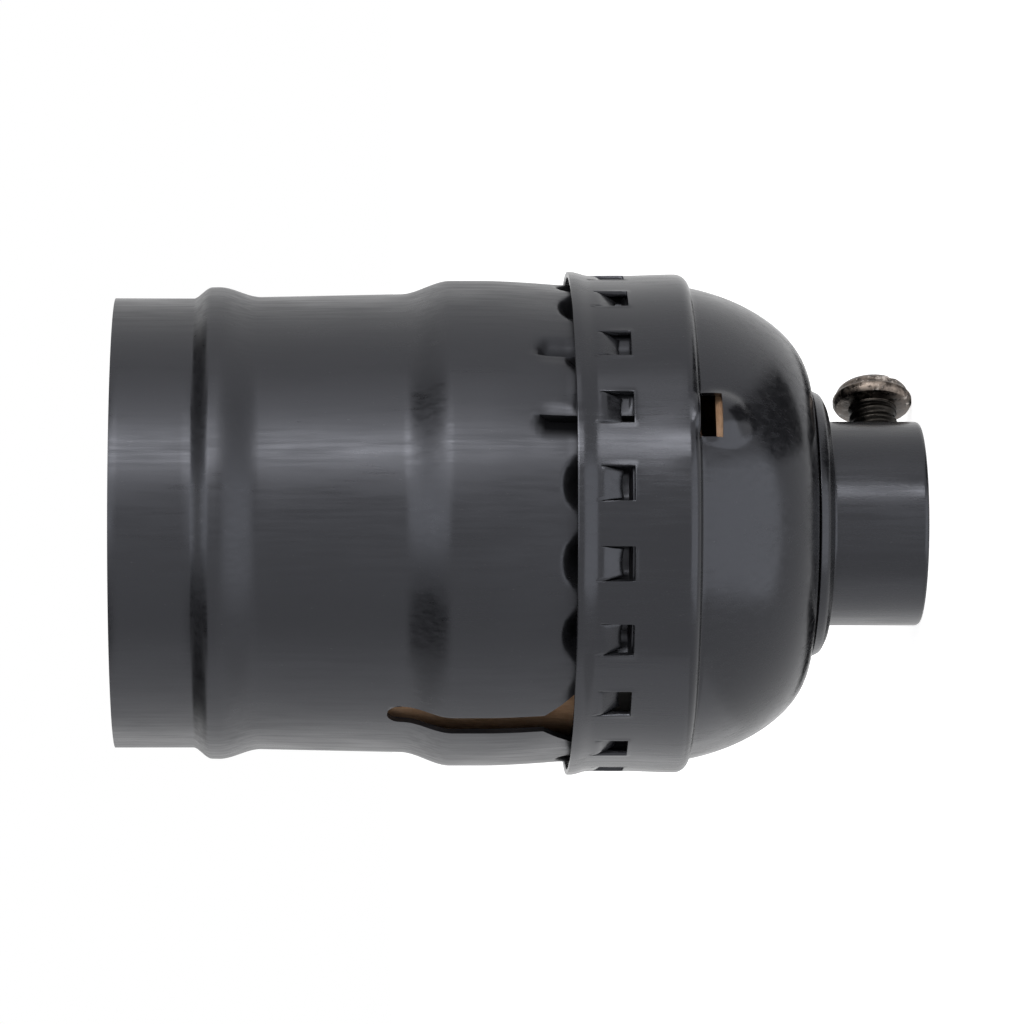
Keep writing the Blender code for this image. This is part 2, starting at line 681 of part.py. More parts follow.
def make_neck_bushing():
    edge = NECK_EDGE_RADIUS
    fillet = NECK_ROOT_FILLET
    bevel = FLANGE_EDGE
    chamfer = BORE_CHAMFER
    top = PEEN_Z + PEEN_HEIGHT
    profile = [
        (PEEN_RADIUS - bevel, top),
        (PEEN_RADIUS, top - bevel),
        (PEEN_RADIUS, PEEN_Z),
        (SPIGOT_RADIUS, PEEN_Z),
        (SPIGOT_RADIUS, FLANGE_Z),
        (FLANGE_RADIUS - bevel, FLANGE_Z),
        (FLANGE_RADIUS, FLANGE_Z - bevel),
        (FLANGE_RADIUS, NECK_LENGTH + bevel),
        (FLANGE_RADIUS - bevel, NECK_LENGTH),
        (NECK_RADIUS + fillet, NECK_LENGTH),
        (NECK_RADIUS, NECK_LENGTH - fillet),
    ]
    profile += arc(NECK_RADIUS - edge, edge, edge, 0.0, -90.0, 3)
    profile += [
        (BORE_RADIUS + chamfer, 0.0),
        (BORE_RADIUS, chamfer),
        (BORE_RADIUS, top - chamfer),
        (BORE_RADIUS + chamfer, top),
    ]
    bushing = turned("neck_bushing", profile, BLACK_METAL)
    start = around(SET_SCREW_ANGLE, BORE_RADIUS / 2, SET_SCREW_HEIGHT)
    end = around(SET_SCREW_ANGLE, NECK_RADIUS + CUTTER_OUTWARDS, SET_SCREW_HEIGHT)
    cut(bushing, round_cutter("set_screw_hole_cutter", SET_SCREW_RADIUS + CLEARANCE, start, end))
    return bushing


def make_bushing_washer():
    inner = SPIGOT_RADIUS + CLEARANCE
    top = WASHER_Z + WASHER_THICKNESS
    profile = [(WASHER_RADIUS, top), (WASHER_RADIUS, WASHER_Z), (inner, WASHER_Z), (inner, top)]
    return turned("bushing_washer", profile, STEEL, SMALL_STEPS)


def screw_profile(shank_radius, length, head_radius, head_height):
    """A slotted screw with its head up and the underside of the head at z = 0."""
    tip = 0.5 * shank_radius
    return [
        (0.0, head_height),
        (0.55 * head_radius, 0.93 * head_height),
        (0.85 * head_radius, 0.72 * head_height),
        (head_radius, 0.4 * head_height),
        (head_radius, 0.1 * head_height),
        (0.94 * head_radius, 0.0),
        (shank_radius, 0.0),
        (shank_radius, tip - length),
        (shank_radius - tip, -length),
        (0.0, -length),
    ]


def place_along(piece, direction, location):
    piece.rotation_euler = direction.to_track_quat("Z", "Y").to_euler()
    piece.location = location


def make_slotted_screw(name, profile, head_height, direction, location, material):
    """The slot is cut in the screw's own frame, by a cutter that is its child."""
    screw = turned(name, profile, material, SMALL_STEPS, closed=False)
    reach = max(radius for radius, z in profile) + CUTTER_OUTWARDS
    low = Vector((-reach, -SLOT_WIDTH / 2, head_height - SLOT_DEPTH))
    high = Vector((reach, SLOT_WIDTH / 2, head_height + reach))
    slot = box_cutter(name + "_slot_cutter", low, high)
    slot.parent = screw
    cut(screw, slot)
    place_along(screw, direction, location)
    return screw


def make_set_screw():
    direction = around(SET_SCREW_ANGLE, 1.0, 0.0)
    location = around(SET_SCREW_ANGLE, NECK_RADIUS + SET_SCREW_STANDOFF, SET_SCREW_HEIGHT)
    profile = screw_profile(SET_SCREW_RADIUS, SET_SCREW_LENGTH, SET_SCREW_HEAD_RADIUS, SET_SCREW_HEAD_HEIGHT)
    return make_slotted_screw("set_screw", profile, SET_SCREW_HEAD_HEIGHT, direction, location, BRONZE_SCREW)


def make_terminal_screw(name, side, material):
    direction = Vector((side, 0.0, 0.0))
    seat = PLATE_X + PLATE_WALL / 2 + CLEARANCE
    location = Vector((side * seat, 0.0, TERMINAL_SCREW_Z))
    profile = screw_profile(
        TERMINAL_SCREW_RADIUS, TERMINAL_SCREW_LENGTH, TERMINAL_HEAD_RADIUS, TERMINAL_HEAD_HEIGHT
    )
    return make_slotted_screw(name, profile, TERMINAL_HEAD_HEIGHT, direction, location, material)


def bent_strip(name, path, width, wall, material):
    """A strip of sheet metal: its side view, pulled out to its width and thickened."""
    bm = bmesh.new()
    verts = [bm.verts.new((x, -width / 2, z)) for x, z in path]
    edges = [bm.edges.new(pair) for pair in zip(verts, verts[1:])]
    pulled = bmesh.ops.extrude_edge_only(bm, edges=edges)
    moved = [item for item in pulled["geom"] if isinstance(item, bmesh.types.BMVert)]
    bmesh.ops.translate(bm, vec=(0.0, width, 0.0), verts=moved)
    mesh = bpy.data.meshes.new(name)
    bm.to_mesh(mesh)
    bm.free()
    strip = add_mesh_object(name, mesh, material)
    solidify = strip.modifiers.new("wall", "SOLIDIFY")
    solidify.thickness = wall
    solidify.offset = 0.0
    solidify.use_even_offset = True
    return strip


def shell_rivet_hole(name, x):
    radius = RIVET_SHANK_RADIUS + CLEARANCE
    start = Vector((x, 0.0, DECK_UNDER_Z - 0.8 * RIVET_POCKET_HEIGHT))
    end = Vector((x, 0.0, DECK_Z + CUTTER_OUTWARDS))
    return round_cutter(name, radius, start, end, 12)


def make_terminal_plate(name, side, tab_end_x, rivet_x, material):
    foot_z = BAY_FLOOR_Z + PLATE_FOOT
    path = [(side * PLATE_X, foot_z), (side * PLATE_X, TAB_Z), (side * tab_end_x, TAB_Z)]
    plate = bent_strip(name, path, PLATE_WIDTH, PLATE_WALL, material)
    cut(plate, shell_rivet_hole(name + "_rivet_cutter", rivet_x))
    start = Vector((side * (PLATE_X - CUTTER_OUTWARDS), 0.0, TERMINAL_SCREW_Z))
    end = Vector((side * (PLATE_X + CUTTER_OUTWARDS), 0.0, TERMINAL_SCREW_Z))
    cut(plate, round_cutter(name + "_screw_cutter", TERMINAL_SCREW_RADIUS + CLEARANCE, start, end, 12))
    return plate


def make_rivet(name, x, top, bottom, material):
    """A rivet with a domed head at each end, between two levels."""
    head = RIVET_HEAD_HEIGHT
    profile = [
        (0.0, top + head),
        (0.7 * RIVET_HEAD_RADIUS, top + 0.75 * head),
        (RIVET_HEAD_RADIUS, top),
        (RIVET_SHANK_RADIUS, top),
        (RIVET_SHANK_RADIUS, bottom),
        (RIVET_HEAD_RADIUS, bottom),
        (0.7 * RIVET_HEAD_RADIUS, bottom - 0.75 * head),
        (0.0, bottom - head),
    ]
    rivet = turned(name, profile, material, 12, closed=False)
    rivet.location = (x, 0.0, 0.0)
    return rivet


def make_centre_contact():
    """The leaf lies flat under its rivet, then rises over the middle of the floor."""
    low_z = DECK_Z + CLEARANCE + CONTACT_WALL / 2
    bend_x = CONTACT_RIVET_X + RIVET_HEAD_RADIUS + 0.1 * MM
    crown_z = low_z + CONTACT_RISE
    run = CONTACT_TIP_X - bend_x
    path = [(CONTACT_ROOT_X, low_z), (bend_x, low_z)]
    path.append((bend_x + 0.35 * run, low_z + 0.62 * CONTACT_RISE))
    path.append((bend_x + 0.55 * run, low_z + 0.93 * CONTACT_RISE))
    path.append((bend_x + 0.7 * run, crown_z))
    path.append((bend_x + 0.85 * run, low_z + 0.93 * CONTACT_RISE))
    path.append((CONTACT_TIP_X, low_z + 0.7 * CONTACT_RISE))
    contact = bent_strip("centre_contact", path, CONTACT_WIDTH, CONTACT_WALL, BRASS)
    cut(contact, shell_rivet_hole("contact_rivet_cutter", CONTACT_RIVET_X))
    return contact


def make_rivets():
    contact_top = DECK_Z + 2 * CLEARANCE + CONTACT_WALL
    flange_top = SCREW_SHELL_Z + SCREW_SHELL_WALL + CLEARANCE
    tab_under = TAB_Z - PLATE_WALL / 2 - CLEARANCE
    make_rivet("centre_contact_rivet", CONTACT_RIVET_X, contact_top, tab_under, BRASS)
    make_rivet("neutral_rivet", SHELL_RIVET_X, flange_top, tab_under, PLAIN_ALUMINIUM)
    make_rivet("anchor_rivet", -SHELL_RIVET_X, flange_top, DECK_UNDER_Z - CLEARANCE, PLAIN_ALUMINIUM)


def make_socket_body():
    edge = BODY_EDGE
    cavity_top = BODY_FLANGE_Z - BODY_FLOOR_THICKNESS
    profile = [
        (0.0, DECK_Z),
        (BODY_RADIUS - edge, DECK_Z),
        (BODY_RADIUS, DECK_Z - edge),
        (BODY_RADIUS, BODY_FLANGE_Z),
        (BODY_FLANGE_RADIUS - edge, BODY_FLANGE_Z),
        (BODY_FLANGE_RADIUS, BODY_FLANGE_Z - edge),
        (BODY_FLANGE_RADIUS, BODY_Z + edge),
        (BODY_FLANGE_RADIUS - edge, BODY_Z),
        (WIRE_CAVITY_RADIUS, BODY_Z),
        (WIRE_CAVITY_RADIUS, cavity_top),
        (0.0, cavity_top),
    ]
    body = turned("socket_body", profile, PHENOLIC, closed=False)
    half_bay = TERMINAL_BAY_WIDTH / 2
    hole = TERMINAL_SCREW_RADIUS + CLEARANCE
    hole_end = PLATE_X + PLATE_WALL / 2 - TERMINAL_SCREW_LENGTH
    for name, side in (("hot", -1), ("neutral", 1)):
        near = side * NOTCH_WALL_X
        far = side * (BODY_RADIUS + 1 * MM)
        low = Vector((min(near, far), -half_bay, BAY_FLOOR_Z))
        high = Vector((max(near, far), half_bay, DECK_UNDER_Z))
        cut(body, box_cutter(name + "_bay_cutter", low, high))
        start = Vector((side * hole_end, 0.0, TERMINAL_SCREW_Z))
        end = Vector((side * (NOTCH_WALL_X + 1 * MM), 0.0, TERMINAL_SCREW_Z))
        cut(body, round_cutter(name + "_screw_hole_cutter", hole, start, end, 12))
        start = Vector((side * WIRE_HOLE_X, 0.0, cavity_top - 1 * MM))
        end = Vector((side * WIRE_HOLE_X, 0.0, BAY_FLOOR_Z + 1 * MM))
        cut(body, round_cutter(name + "_wire_hole_cutter", WIRE_HOLE_RADIUS, start, end, 12))
        cut(body, shell_rivet_hole(name + "_shell_rivet_cutter", side * SHELL_RIVET_X))
    inner_x = CONTACT_RIVET_X + RIVET_HEAD_RADIUS + 2 * CLEARANCE + PLATE_WALL
    half_pocket = PLATE_WIDTH / 2 + CLEARANCE
    low = Vector((-NOTCH_WALL_X - 1 * MM, -half_pocket, DECK_UNDER_Z - RIVET_POCKET_HEIGHT))
    high = Vector((inner_x, half_pocket, DECK_UNDER_Z))
    cut(body, box_cutter("rivet_pocket_cutter", low, high))
    cut(body, shell_rivet_hole("contact_hole_cutter", CONTACT_RIVET_X))
    return body


def make_screw_shell():
    """A rolled thread on a thin cup with an open floor. The outer surface is modelled."""
    thread_top = SCREW_SHELL_TOP_Z - SCREW_SHELL_RIM
    thread_foot = SCREW_SHELL_Z + SCREW_SHELL_BASE
    middle = THREAD_RIDGE_RADIUS - THREAD_DEPTH / 2
    rows = round((thread_top - thread_foot) / THREAD_PITCH * THREAD_ROWS_PER_TURN)
    corner = 0.6 * SCREW_SHELL_BASE
    profile = [(THREAD_RIDGE_RADIUS, SCREW_SHELL_TOP_Z)]
    for row in range(rows + 1):
        profile.append((middle, thread_top + (thread_foot - thread_top) * row / rows))
    profile += arc(middle - corner, SCREW_SHELL_Z + corner, corner, 0.0, -90.0, 2)
    profile.append((SCREW_SHELL_HOLE_RADIUS, SCREW_SHELL_Z))
    bm = spun_sheet(profile, THREAD_COLUMNS)
    for vert in bm.verts:
        height = vert.co.z
        if thread_foot - 1e-6 <= height <= thread_top + 1e-6:
            fade = min(1.0, (height - thread_foot) / THREAD_PITCH * 2, (thread_top - height) / THREAD_PITCH * 2)
            wave = math.cos(math.tau * height / THREAD_PITCH - angle_of(vert.co))
            vert.co = around(angle_of(vert.co), middle + fade * wave * THREAD_DEPTH / 2, height)
    shell = sheet_object("screw_shell", bm, SCREW_SHELL_WALL, PLAIN_ALUMINIUM)
    for name, side in (("neutral", 1), ("anchor", -1)):
        cut(shell, shell_rivet_hole(name + "_flange_cutter", side * SHELL_RIVET_X))
    return shell


def make_terminals():
    hot_tab_end = abs(CONTACT_RIVET_X) - RIVET_HEAD_RADIUS - CLEARANCE
    neutral_tab_end = SHELL_RIVET_X + TAB_BEYOND_RIVET
    make_terminal_plate("hot_terminal_plate", -1, hot_tab_end, CONTACT_RIVET_X, BRASS)
    make_terminal_plate("neutral_terminal_plate", 1, neutral_tab_end, SHELL_RIVET_X, NICKEL)
    make_terminal_screw("hot_terminal_screw", -1, BRASS)
    make_terminal_screw("neutral_terminal_screw", 1, NICKEL)


def main():
    make_outer_shell()
    make_shell_liner()
    make_cap()
    make_cap_liner()
    make_neck_bushing()
    make_bushing_washer()
    make_set_screw()
    make_socket_body()
    make_screw_shell()
    make_centre_contact()
    make_rivets()
    make_terminals()


main()
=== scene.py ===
"""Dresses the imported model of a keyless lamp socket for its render.

The socket stands on its neck: +Z runs from the neck to the mouth. The photograph shows
it lying on its side, seen along +Y, with its mouth to the left, so the camera is rolled.
"""

from contextlib import contextmanager
from math import atan, atan2, copysign, cos, hypot, pi, radians, remainder, sin, sqrt, tau

import bmesh
import bpy
from mathutils import Matrix, Vector
from mathutils.geometry import interpolate_bezier


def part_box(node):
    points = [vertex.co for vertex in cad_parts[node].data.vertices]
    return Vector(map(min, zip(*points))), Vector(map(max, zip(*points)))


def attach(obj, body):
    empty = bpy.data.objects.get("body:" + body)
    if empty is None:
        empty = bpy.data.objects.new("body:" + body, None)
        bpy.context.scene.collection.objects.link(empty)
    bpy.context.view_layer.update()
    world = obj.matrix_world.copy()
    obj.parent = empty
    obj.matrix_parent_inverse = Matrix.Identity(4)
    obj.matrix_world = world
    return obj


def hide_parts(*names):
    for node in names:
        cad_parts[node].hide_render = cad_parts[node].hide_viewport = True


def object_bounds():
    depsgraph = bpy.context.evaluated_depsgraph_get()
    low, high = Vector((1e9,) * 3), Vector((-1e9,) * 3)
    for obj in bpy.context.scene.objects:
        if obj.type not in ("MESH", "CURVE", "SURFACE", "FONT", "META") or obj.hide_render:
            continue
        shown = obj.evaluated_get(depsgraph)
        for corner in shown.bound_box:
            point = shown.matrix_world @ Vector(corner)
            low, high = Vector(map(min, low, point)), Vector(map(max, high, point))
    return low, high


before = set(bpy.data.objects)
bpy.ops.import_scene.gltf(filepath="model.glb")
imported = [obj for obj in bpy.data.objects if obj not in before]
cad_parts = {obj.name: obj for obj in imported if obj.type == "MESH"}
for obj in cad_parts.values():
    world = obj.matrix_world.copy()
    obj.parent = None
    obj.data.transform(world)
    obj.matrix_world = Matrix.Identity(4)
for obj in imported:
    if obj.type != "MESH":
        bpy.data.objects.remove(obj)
cad_low, cad_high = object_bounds()

MM = 0.001

# Camera, read from the photograph
CAMERA_PLACE = Vector((0.0, -418 * MM, 48 * MM))
CAMERA_TARGET = Vector((0.9 * MM, 0.0, 32.6 * MM))
CAMERA_WIDTH = 81.9 * MM
CAMERA_ROLL = radians(-0.05)


def reach(node):
    """How far a CAD node reaches from the axis, and its lower and upper level."""
    low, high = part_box(node)
    return high.x, low.z, high.z


# Sizes read from the CAD nodes
LIP_RADIUS, DOME_Z, _ = reach("cap")
SHOULDER_RADIUS, SHELL_FOOT_Z, MOUTH_Z = reach("outer_shell")
LINER_RADIUS, LINER_FOOT_Z, LINER_TOP_Z = reach("shell_liner")
_, CAP_LINER_FOOT_Z, CAP_LINER_TOP_Z = reach("cap_liner")
FLANGE_RADIUS, _, PEEN_TOP_Z = reach("neck_bushing")
THREAD_RADIUS, SCREW_SHELL_Z, SCREW_SHELL_TOP_Z = reach("screw_shell")

# Cap
SHEET = 0.45 * MM
CAP_ROUNDING = 0.12 * MM
CUT_ROUNDING = 0.07 * MM
CREASE_Z = DOME_Z + 9.68 * MM
LIP_Z = CREASE_Z + 9.62 * MM
NOTCH_COUNT = 20
NOTCH_PITCH = tau / NOTCH_COUNT
WAIST_RADIUS = LIP_RADIUS - 0.3 * MM
BAND_RADIUS = WAIST_RADIUS + 0.12 * MM
LIP_HEIGHT = 1.75 * MM
LIP_STRAIGHT = 0.3 * MM
NOTCH_TOP_Z = LIP_Z - 1.87 * MM
NOTCH_FOOT_Z = NOTCH_TOP_Z - 2.54 * MM
NOTCH_HALF_ANGLE = 1.35 * MM / WAIST_RADIUS
TONGUE_LENGTH = 1.76 * MM
TONGUE_DEPTH = 0.75 * MM
TONGUE_TAPER = 0.24 * MM
TONGUE_BEND = 0.3
TONGUE_HOLLOW = 0.14 * MM
BURR_HEIGHT = 0.04 * MM
BURR_REACH = 0.4 * MM
BURR_WIDTH = radians(0.5)
CORNER_RADIUS = 1.05 * MM
CREASE_RADIUS = BAND_RADIUS - CORNER_RADIUS
DOME_FOOT_RADIUS = FLANGE_RADIUS + 0.3 * MM
WINDOW_ANGLE = radians(26.4)
WINDOW_WIDTH = 3.8 * MM
WINDOW_TOP_Z = CREASE_Z + 0.1 * MM
HOOD_Z = CREASE_Z - 1.65 * MM
HOOD_HALF_WIDTH = 2.5 * MM
HOOD_LENGTH = 2.6 * MM
HOOD_RISE = 0.8 * MM
HOOD_FLATNESS = 2.6
HOOD_FALL = 1.4

# Outer shell
SHELL_ROUNDING = 0.06 * MM
MOUTH_RADIUS = LINER_RADIUS + 0.85 * MM
BEAD_TOP_Z = MOUTH_Z - 6.25 * MM
BEAD_CREST_Z = MOUTH_Z - 8.2 * MM
BEAD_STEP = 1.45 * MM
BEAD_FALL = 3.4 * MM
BEAD_RISE = 0.86 * MM
BEAD_STEEPNESS = 0.85
BARREL_TOP_RADIUS = MOUTH_RADIUS + 0.13 * MM
BARREL_FOOT_RADIUS = BARREL_TOP_RADIUS + 0.25 * MM
BARREL_FOOT_Z = MOUTH_Z - 22.6 * MM
SHOULDER_HEIGHT = 4.0 * MM
LAND_Z = BARREL_FOOT_Z - SHOULDER_HEIGHT - 2.9 * MM
SKIRT_TAPER = 5.7 * MM
SKIRT_CURVE = 1.5
SKIRT_RADIUS = SHOULDER_RADIUS - 0.32 * MM
SKIRT_Z = SHELL_FOOT_Z + 6.65 * MM
POCKET_TOP_Z = SHELL_FOOT_Z + 6.15 * MM
POCKET_MIDDLE_Z = SHELL_FOOT_Z + 3.7 * MM
POCKET_FOOT_Z = SHELL_FOOT_Z + 0.68 * MM
POCKET_LEDGE_Z = SHELL_FOOT_Z + 0.43 * MM
POCKET_HALF_ANGLE = radians(8.3)
POCKET_DEPTH = SKIRT_RADIUS - SHEET - LINER_RADIUS - 0.04 * MM
POCKET_OVAL = 2.1
POCKET_BOTTOM = 0.72
POCKET_STEEPNESS = 1.5
SHELL_END_Z = SHELL_FOOT_Z + 0.25 * MM
LONG_SLOT_ANGLE = radians(-54.75)
LONG_SLOT_WIDTH = 2.15 * MM
LONG_SLOT_TOP_Z = SHELL_FOOT_Z + 19.15 * MM
FLARE_Z = SHELL_FOOT_Z + 6.95 * MM
FLARE_UPPER_SLOPE = 0.95
FLARE_LOWER_SLOPE = 1.0
FLARE_LENGTH = 2.9 * MM
LOUVRE_TOP_Z = SHELL_FOOT_Z + 7.9 * MM
LOUVRE_DEPTH = 1.1 * MM
LOUVRE_END = 1.0 * MM
LOUVRE_WALL = radians(0.35)
LOUVRE_DIP = 0.18 * MM
LOUVRE_DIP_ANGLE = radians(3.6)
LOUVRE_STEEPNESS = 1.8
LOUVRE_NEXT_COLUMN = radians(0.9)
SAME_ANGLE = 2e-4
# Name of the surface attribute that holds how strongly shade is painted onto the pressed-in louvres
SHADE = "painted_shade"

# Each louvre's blend angle, cut angle and strength of painted shade, and each flat pocket's angles and
# share of the depth
LOUVRES = ((19.6, 26.0, 1.0), (49.6, 43.0, 0.55))
FLAT_POCKETS = ((18, 36, 0.1), (43, 54, 0.0), (-54, -36, 0.15), (-72, -54, 0.1))

# Neck and set screw
BORE_RADIUS = 4.6 * MM
BORE_PITCH = 0.94 * MM
NECK_RADIUS = BORE_RADIUS + 3.57 * MM
NECK_FLANGE_Z = DOME_Z - 0.95 * MM
SCREW_HOLE_RADIUS = 2.08 * MM
SET_SCREW_ANGLE = radians(117.0)
SET_SCREW_Z = 3.2 * MM
SET_SCREW_SEAT = 10.4 * MM
SET_SCREW_TURN = radians(35.0)
SCREW_SLOT_WIDTH = 0.8 * MM
SCREW_SLOT_DEPTH = 0.9 * MM

# Light
LAMP_DISTANCE = 0.8
CARD_DISTANCE = 0.9
ROOM_LIGHT = 0.5
FLOOR_GLOW = 0.75

# Colours and patterns
EVEN = (1.0, 1.0, 1.0)
BLACK = (0.006, 0.006, 0.0068)
COOL_GLOSS = (0.88, 0.9, 1.0, 1.0)
SPECK = (0.03, 0.03, 0.03)
# Painted shade: the near-black colour mixed onto the pressed-in louvres
PAINTED_DEEP_SHADE = (0.004, 0.004, 0.0045)
PAPER = (0.46, 0.28, 0.17)
PAPER_DARK = (0.32, 0.185, 0.105)
PAPER_PALE = (0.54, 0.37, 0.25)
BRONZE = (0.2, 0.165, 0.14)
BRONZE_DARK = (0.045, 0.037, 0.032)
BRONZE_WORN = (0.5, 0.45, 0.41)
# Painted shade on the set screw's shank and under its head
BRONZE_PAINTED_SHADE = (0.02, 0.018, 0.016)
MOULDED = (0.03, 0.028, 0.027)
MOULDED_PALE = (0.05, 0.045, 0.042)


class Wire:
    """One output in a node tree, so that sums of outputs are written as sums."""

    def __init__(self, tree, socket):
        self.tree = tree
        self.socket = socket

    def maths(self, operation, first, second=None):
        inputs = {0: first} if second is None else {0: first, 1: second}
        return self.tree.node("ShaderNodeMath", {"operation": operation}, inputs)

    def __add__(self, other):
        return self.maths("ADD", self, other)

    def __radd__(self, other):
        return self.maths("ADD", other, self)

    def __sub__(self, other):
        return self.maths("SUBTRACT", self, other)

    def __rsub__(self, other):
        return self.maths("SUBTRACT", other, self)

    def __mul__(self, other):
        return self.maths("MULTIPLY", self, other)

    def __rmul__(self, other):
        return self.maths("MULTIPLY", other, self)

    def __truediv__(self, other):
        return self.maths("DIVIDE", self, other)

    def __rtruediv__(self, other):
        return self.maths("DIVIDE", other, self)

    def __neg__(self):
        return self.maths("MULTIPLY", self, -1.0)

    def sine(self):
        return self.maths("SINE", self)

    def cosine(self):
        return self.maths("COSINE", self)

    def least(self, other):
        return self.maths("MINIMUM", self, other)

    def most(self, other):
        return self.maths("MAXIMUM", self, other)

    def ramp(self, low, high, to_low=0.0, to_high=1.0):
        """Goes smoothly from one value to the other between two inputs."""
        settings = {"interpolation_type": "SMOOTHSTEP"}
        inputs = {"Value": self, "From Min": low, "From Max": high, "To Min": to_low, "To Max": to_high}
        return self.tree.node("ShaderNodeMapRange", settings, inputs)


class Tree:
    """A node tree that is filled by calls."""

    def __init__(self, node_tree):
        self.node_tree = node_tree

    def node(self, kind, settings=None, inputs=None, output=0):
        node = self.node_tree.nodes.new(kind)
        for name, value in (settings or {}).items():
            setattr(node, name, value)
        for name, value in (inputs or {}).items():
            if isinstance(value, Wire):
                self.node_tree.links.new(value.socket, node.inputs[name])
            else:
                node.inputs[name].default_value = value
        return Wire(self, node.outputs[output])

    def link(self, wire, node, name):
        self.node_tree.links.new(wire.socket, node.inputs[name])


def around(angle, radius, z):
    """A place round the axis. Angles run from the front, -Y, towards +X."""
    return Vector((radius * sin(angle), -radius * cos(angle), z))


def angle_of(point):
    return atan2(point.x, -point.y)


def radius_of(point):
    return hypot(point.x, point.y)


def ease(share):
    """Smooth rise from 0 to 1, level outside."""
    share = min(1.0, max(0.0, share))
    return share * share * (3.0 - 2.0 * share)


def spread(low, high, steps):
    """Evenly spaced values from low to high, both included."""
    return [low + (high - low) * step / steps for step in range(steps + 1)]


def levels_down(start, *stretches):
    """Levels from a start through stretches, each given by its end and its steps."""
    levels = [start]
    for end, steps in stretches:
        levels += spread(start, end, steps)[1:]
        start = end
    return levels


def stand(name, thing_data):
    """Puts a new object in the scene."""
    thing = bpy.data.objects.new(name, thing_data)
    bpy.context.scene.collection.objects.link(thing)
    return thing


def new_piece(name, bm, *materials):
    mesh = bpy.data.meshes.new(name)
    bm.to_mesh(mesh)
    bm.free()
    for material in materials:
        mesh.materials.append(material)
    return stand(name, mesh)


@contextmanager
def mesh_of(piece):
    """Opens the piece's mesh for editing, and writes it back."""
    bm = bmesh.new()
    bm.from_mesh(piece.data)
    yield bm
    bm.to_mesh(piece.data)
    bm.free()


def make_plain(piece):
    """Turns what the modifiers make into the piece's own mesh, without an empty first material slot."""
    graph = bpy.context.evaluated_depsgraph_get()
    mesh = bpy.data.meshes.new_from_object(piece.evaluated_get(graph))
    old = piece.data
    piece.modifiers.clear()
    piece.data = mesh
    mesh.name = piece.name
    bpy.data.meshes.remove(old)
    while len(mesh.materials) > 1 and mesh.materials[0] is None:
        mesh.materials.pop(index=0)


def thicken(piece, wall):
    """Gives an outer sheet its wall."""
    solidify = piece.modifiers.new("wall", "SOLIDIFY")
    solidify.thickness = wall
    solidify.offset = -1.0
    solidify.use_even_offset = True


def soften(piece, width, limit=50.0):
    """Rounds the sharp edges."""
    bevel = piece.modifiers.new("edges", "BEVEL")
    bevel.width = width
    bevel.segments = 2
    bevel.limit_method = "ANGLE"
    bevel.angle_limit = radians(limit)


def carve(piece, cutter, solver="EXACT"):
    """Cuts the piece with a closed cutter, whose material goes on the cut."""
    boolean = piece.modifiers.new("cut", "BOOLEAN")
    boolean.operation = "DIFFERENCE"
    boolean.solver = solver
    boolean.object = cutter
    boolean.material_mode = "TRANSFER"
    make_plain(piece)
    bpy.data.objects.remove(cutter, do_unlink=True)


def on_cut_edge(edge, angle, width, low_z, high_z):
    """Whether an edge runs between the outside and the cut, near an angle and between two levels."""
    middle = (edge.verts[0].co + edge.verts[1].co) / 2
    off = remainder(angle_of(middle) - angle, tau) * radius_of(middle)
    near = abs(off) <= 0.6 * width and low_z < middle.z < high_z + 0.1 * MM
    if not near or len(edge.link_faces) != 2:
        return False
    outward = around(angle_of(middle), 1.0, 0.0)
    facing = sorted(face.normal.dot(outward) for face in edge.link_faces)
    return facing[0] < 0.5 < facing[1] and edge.calc_face_angle() > radians(50)


def round_cut(piece, *where):
    """Rounds the outer edge of a cut."""
    with mesh_of(piece) as bm:
        edges = [edge for edge in bm.edges if on_cut_edge(edge, *where)]
        bmesh.ops.bevel(
            bm, geom=edges, offset=CUT_ROUNDING, segments=2, profile=0.5, material=-1, affect="EDGES"
        )


def settle(piece, body, slot, *nodes, sharp=35.0):
    """Smooths the piece's shading and puts it in the place of its CAD nodes."""
    if piece.modifiers:
        make_plain(piece)
    piece.data.shade_smooth()
    piece.data.set_sharp_from_angle(angle=radians(sharp))
    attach(piece, body)
    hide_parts(*nodes)


def lattice(bm, rows, columns, place):
    """Lays a grid of faces. place gives a point for each row and column value."""
    grid = [[bm.verts.new(place(row, column)) for column in columns] for row in rows]
    for upper, lower in zip(grid, grid[1:]):
        for corners in zip(upper, upper[1:], lower[1:], lower):
            bm.faces.new(corners)
    return grid


def rounded(corners, closed=True, steps=4):
    """An outline of (across, up, rounding) corners, with each corner rounded off."""
    outline = []
    for index, (x, z, rounding) in enumerate(corners):
        at_end = not closed and index in (0, len(corners) - 1)
        if rounding == 0 or at_end:
            outline.append((x, z))
            continue
        here = Vector((x, z))
        before = Vector(corners[index - 1][:2]) - here
        after = Vector(corners[(index + 1) % len(corners)][:2]) - here
        start = here + before.normalized() * rounding
        end = here + after.normalized() * rounding
        for share in spread(0.0, 1.0, steps):
            point = start.lerp(here, share).lerp(here.lerp(end, share), share)
            outline.append((point.x, point.y))
    return outline


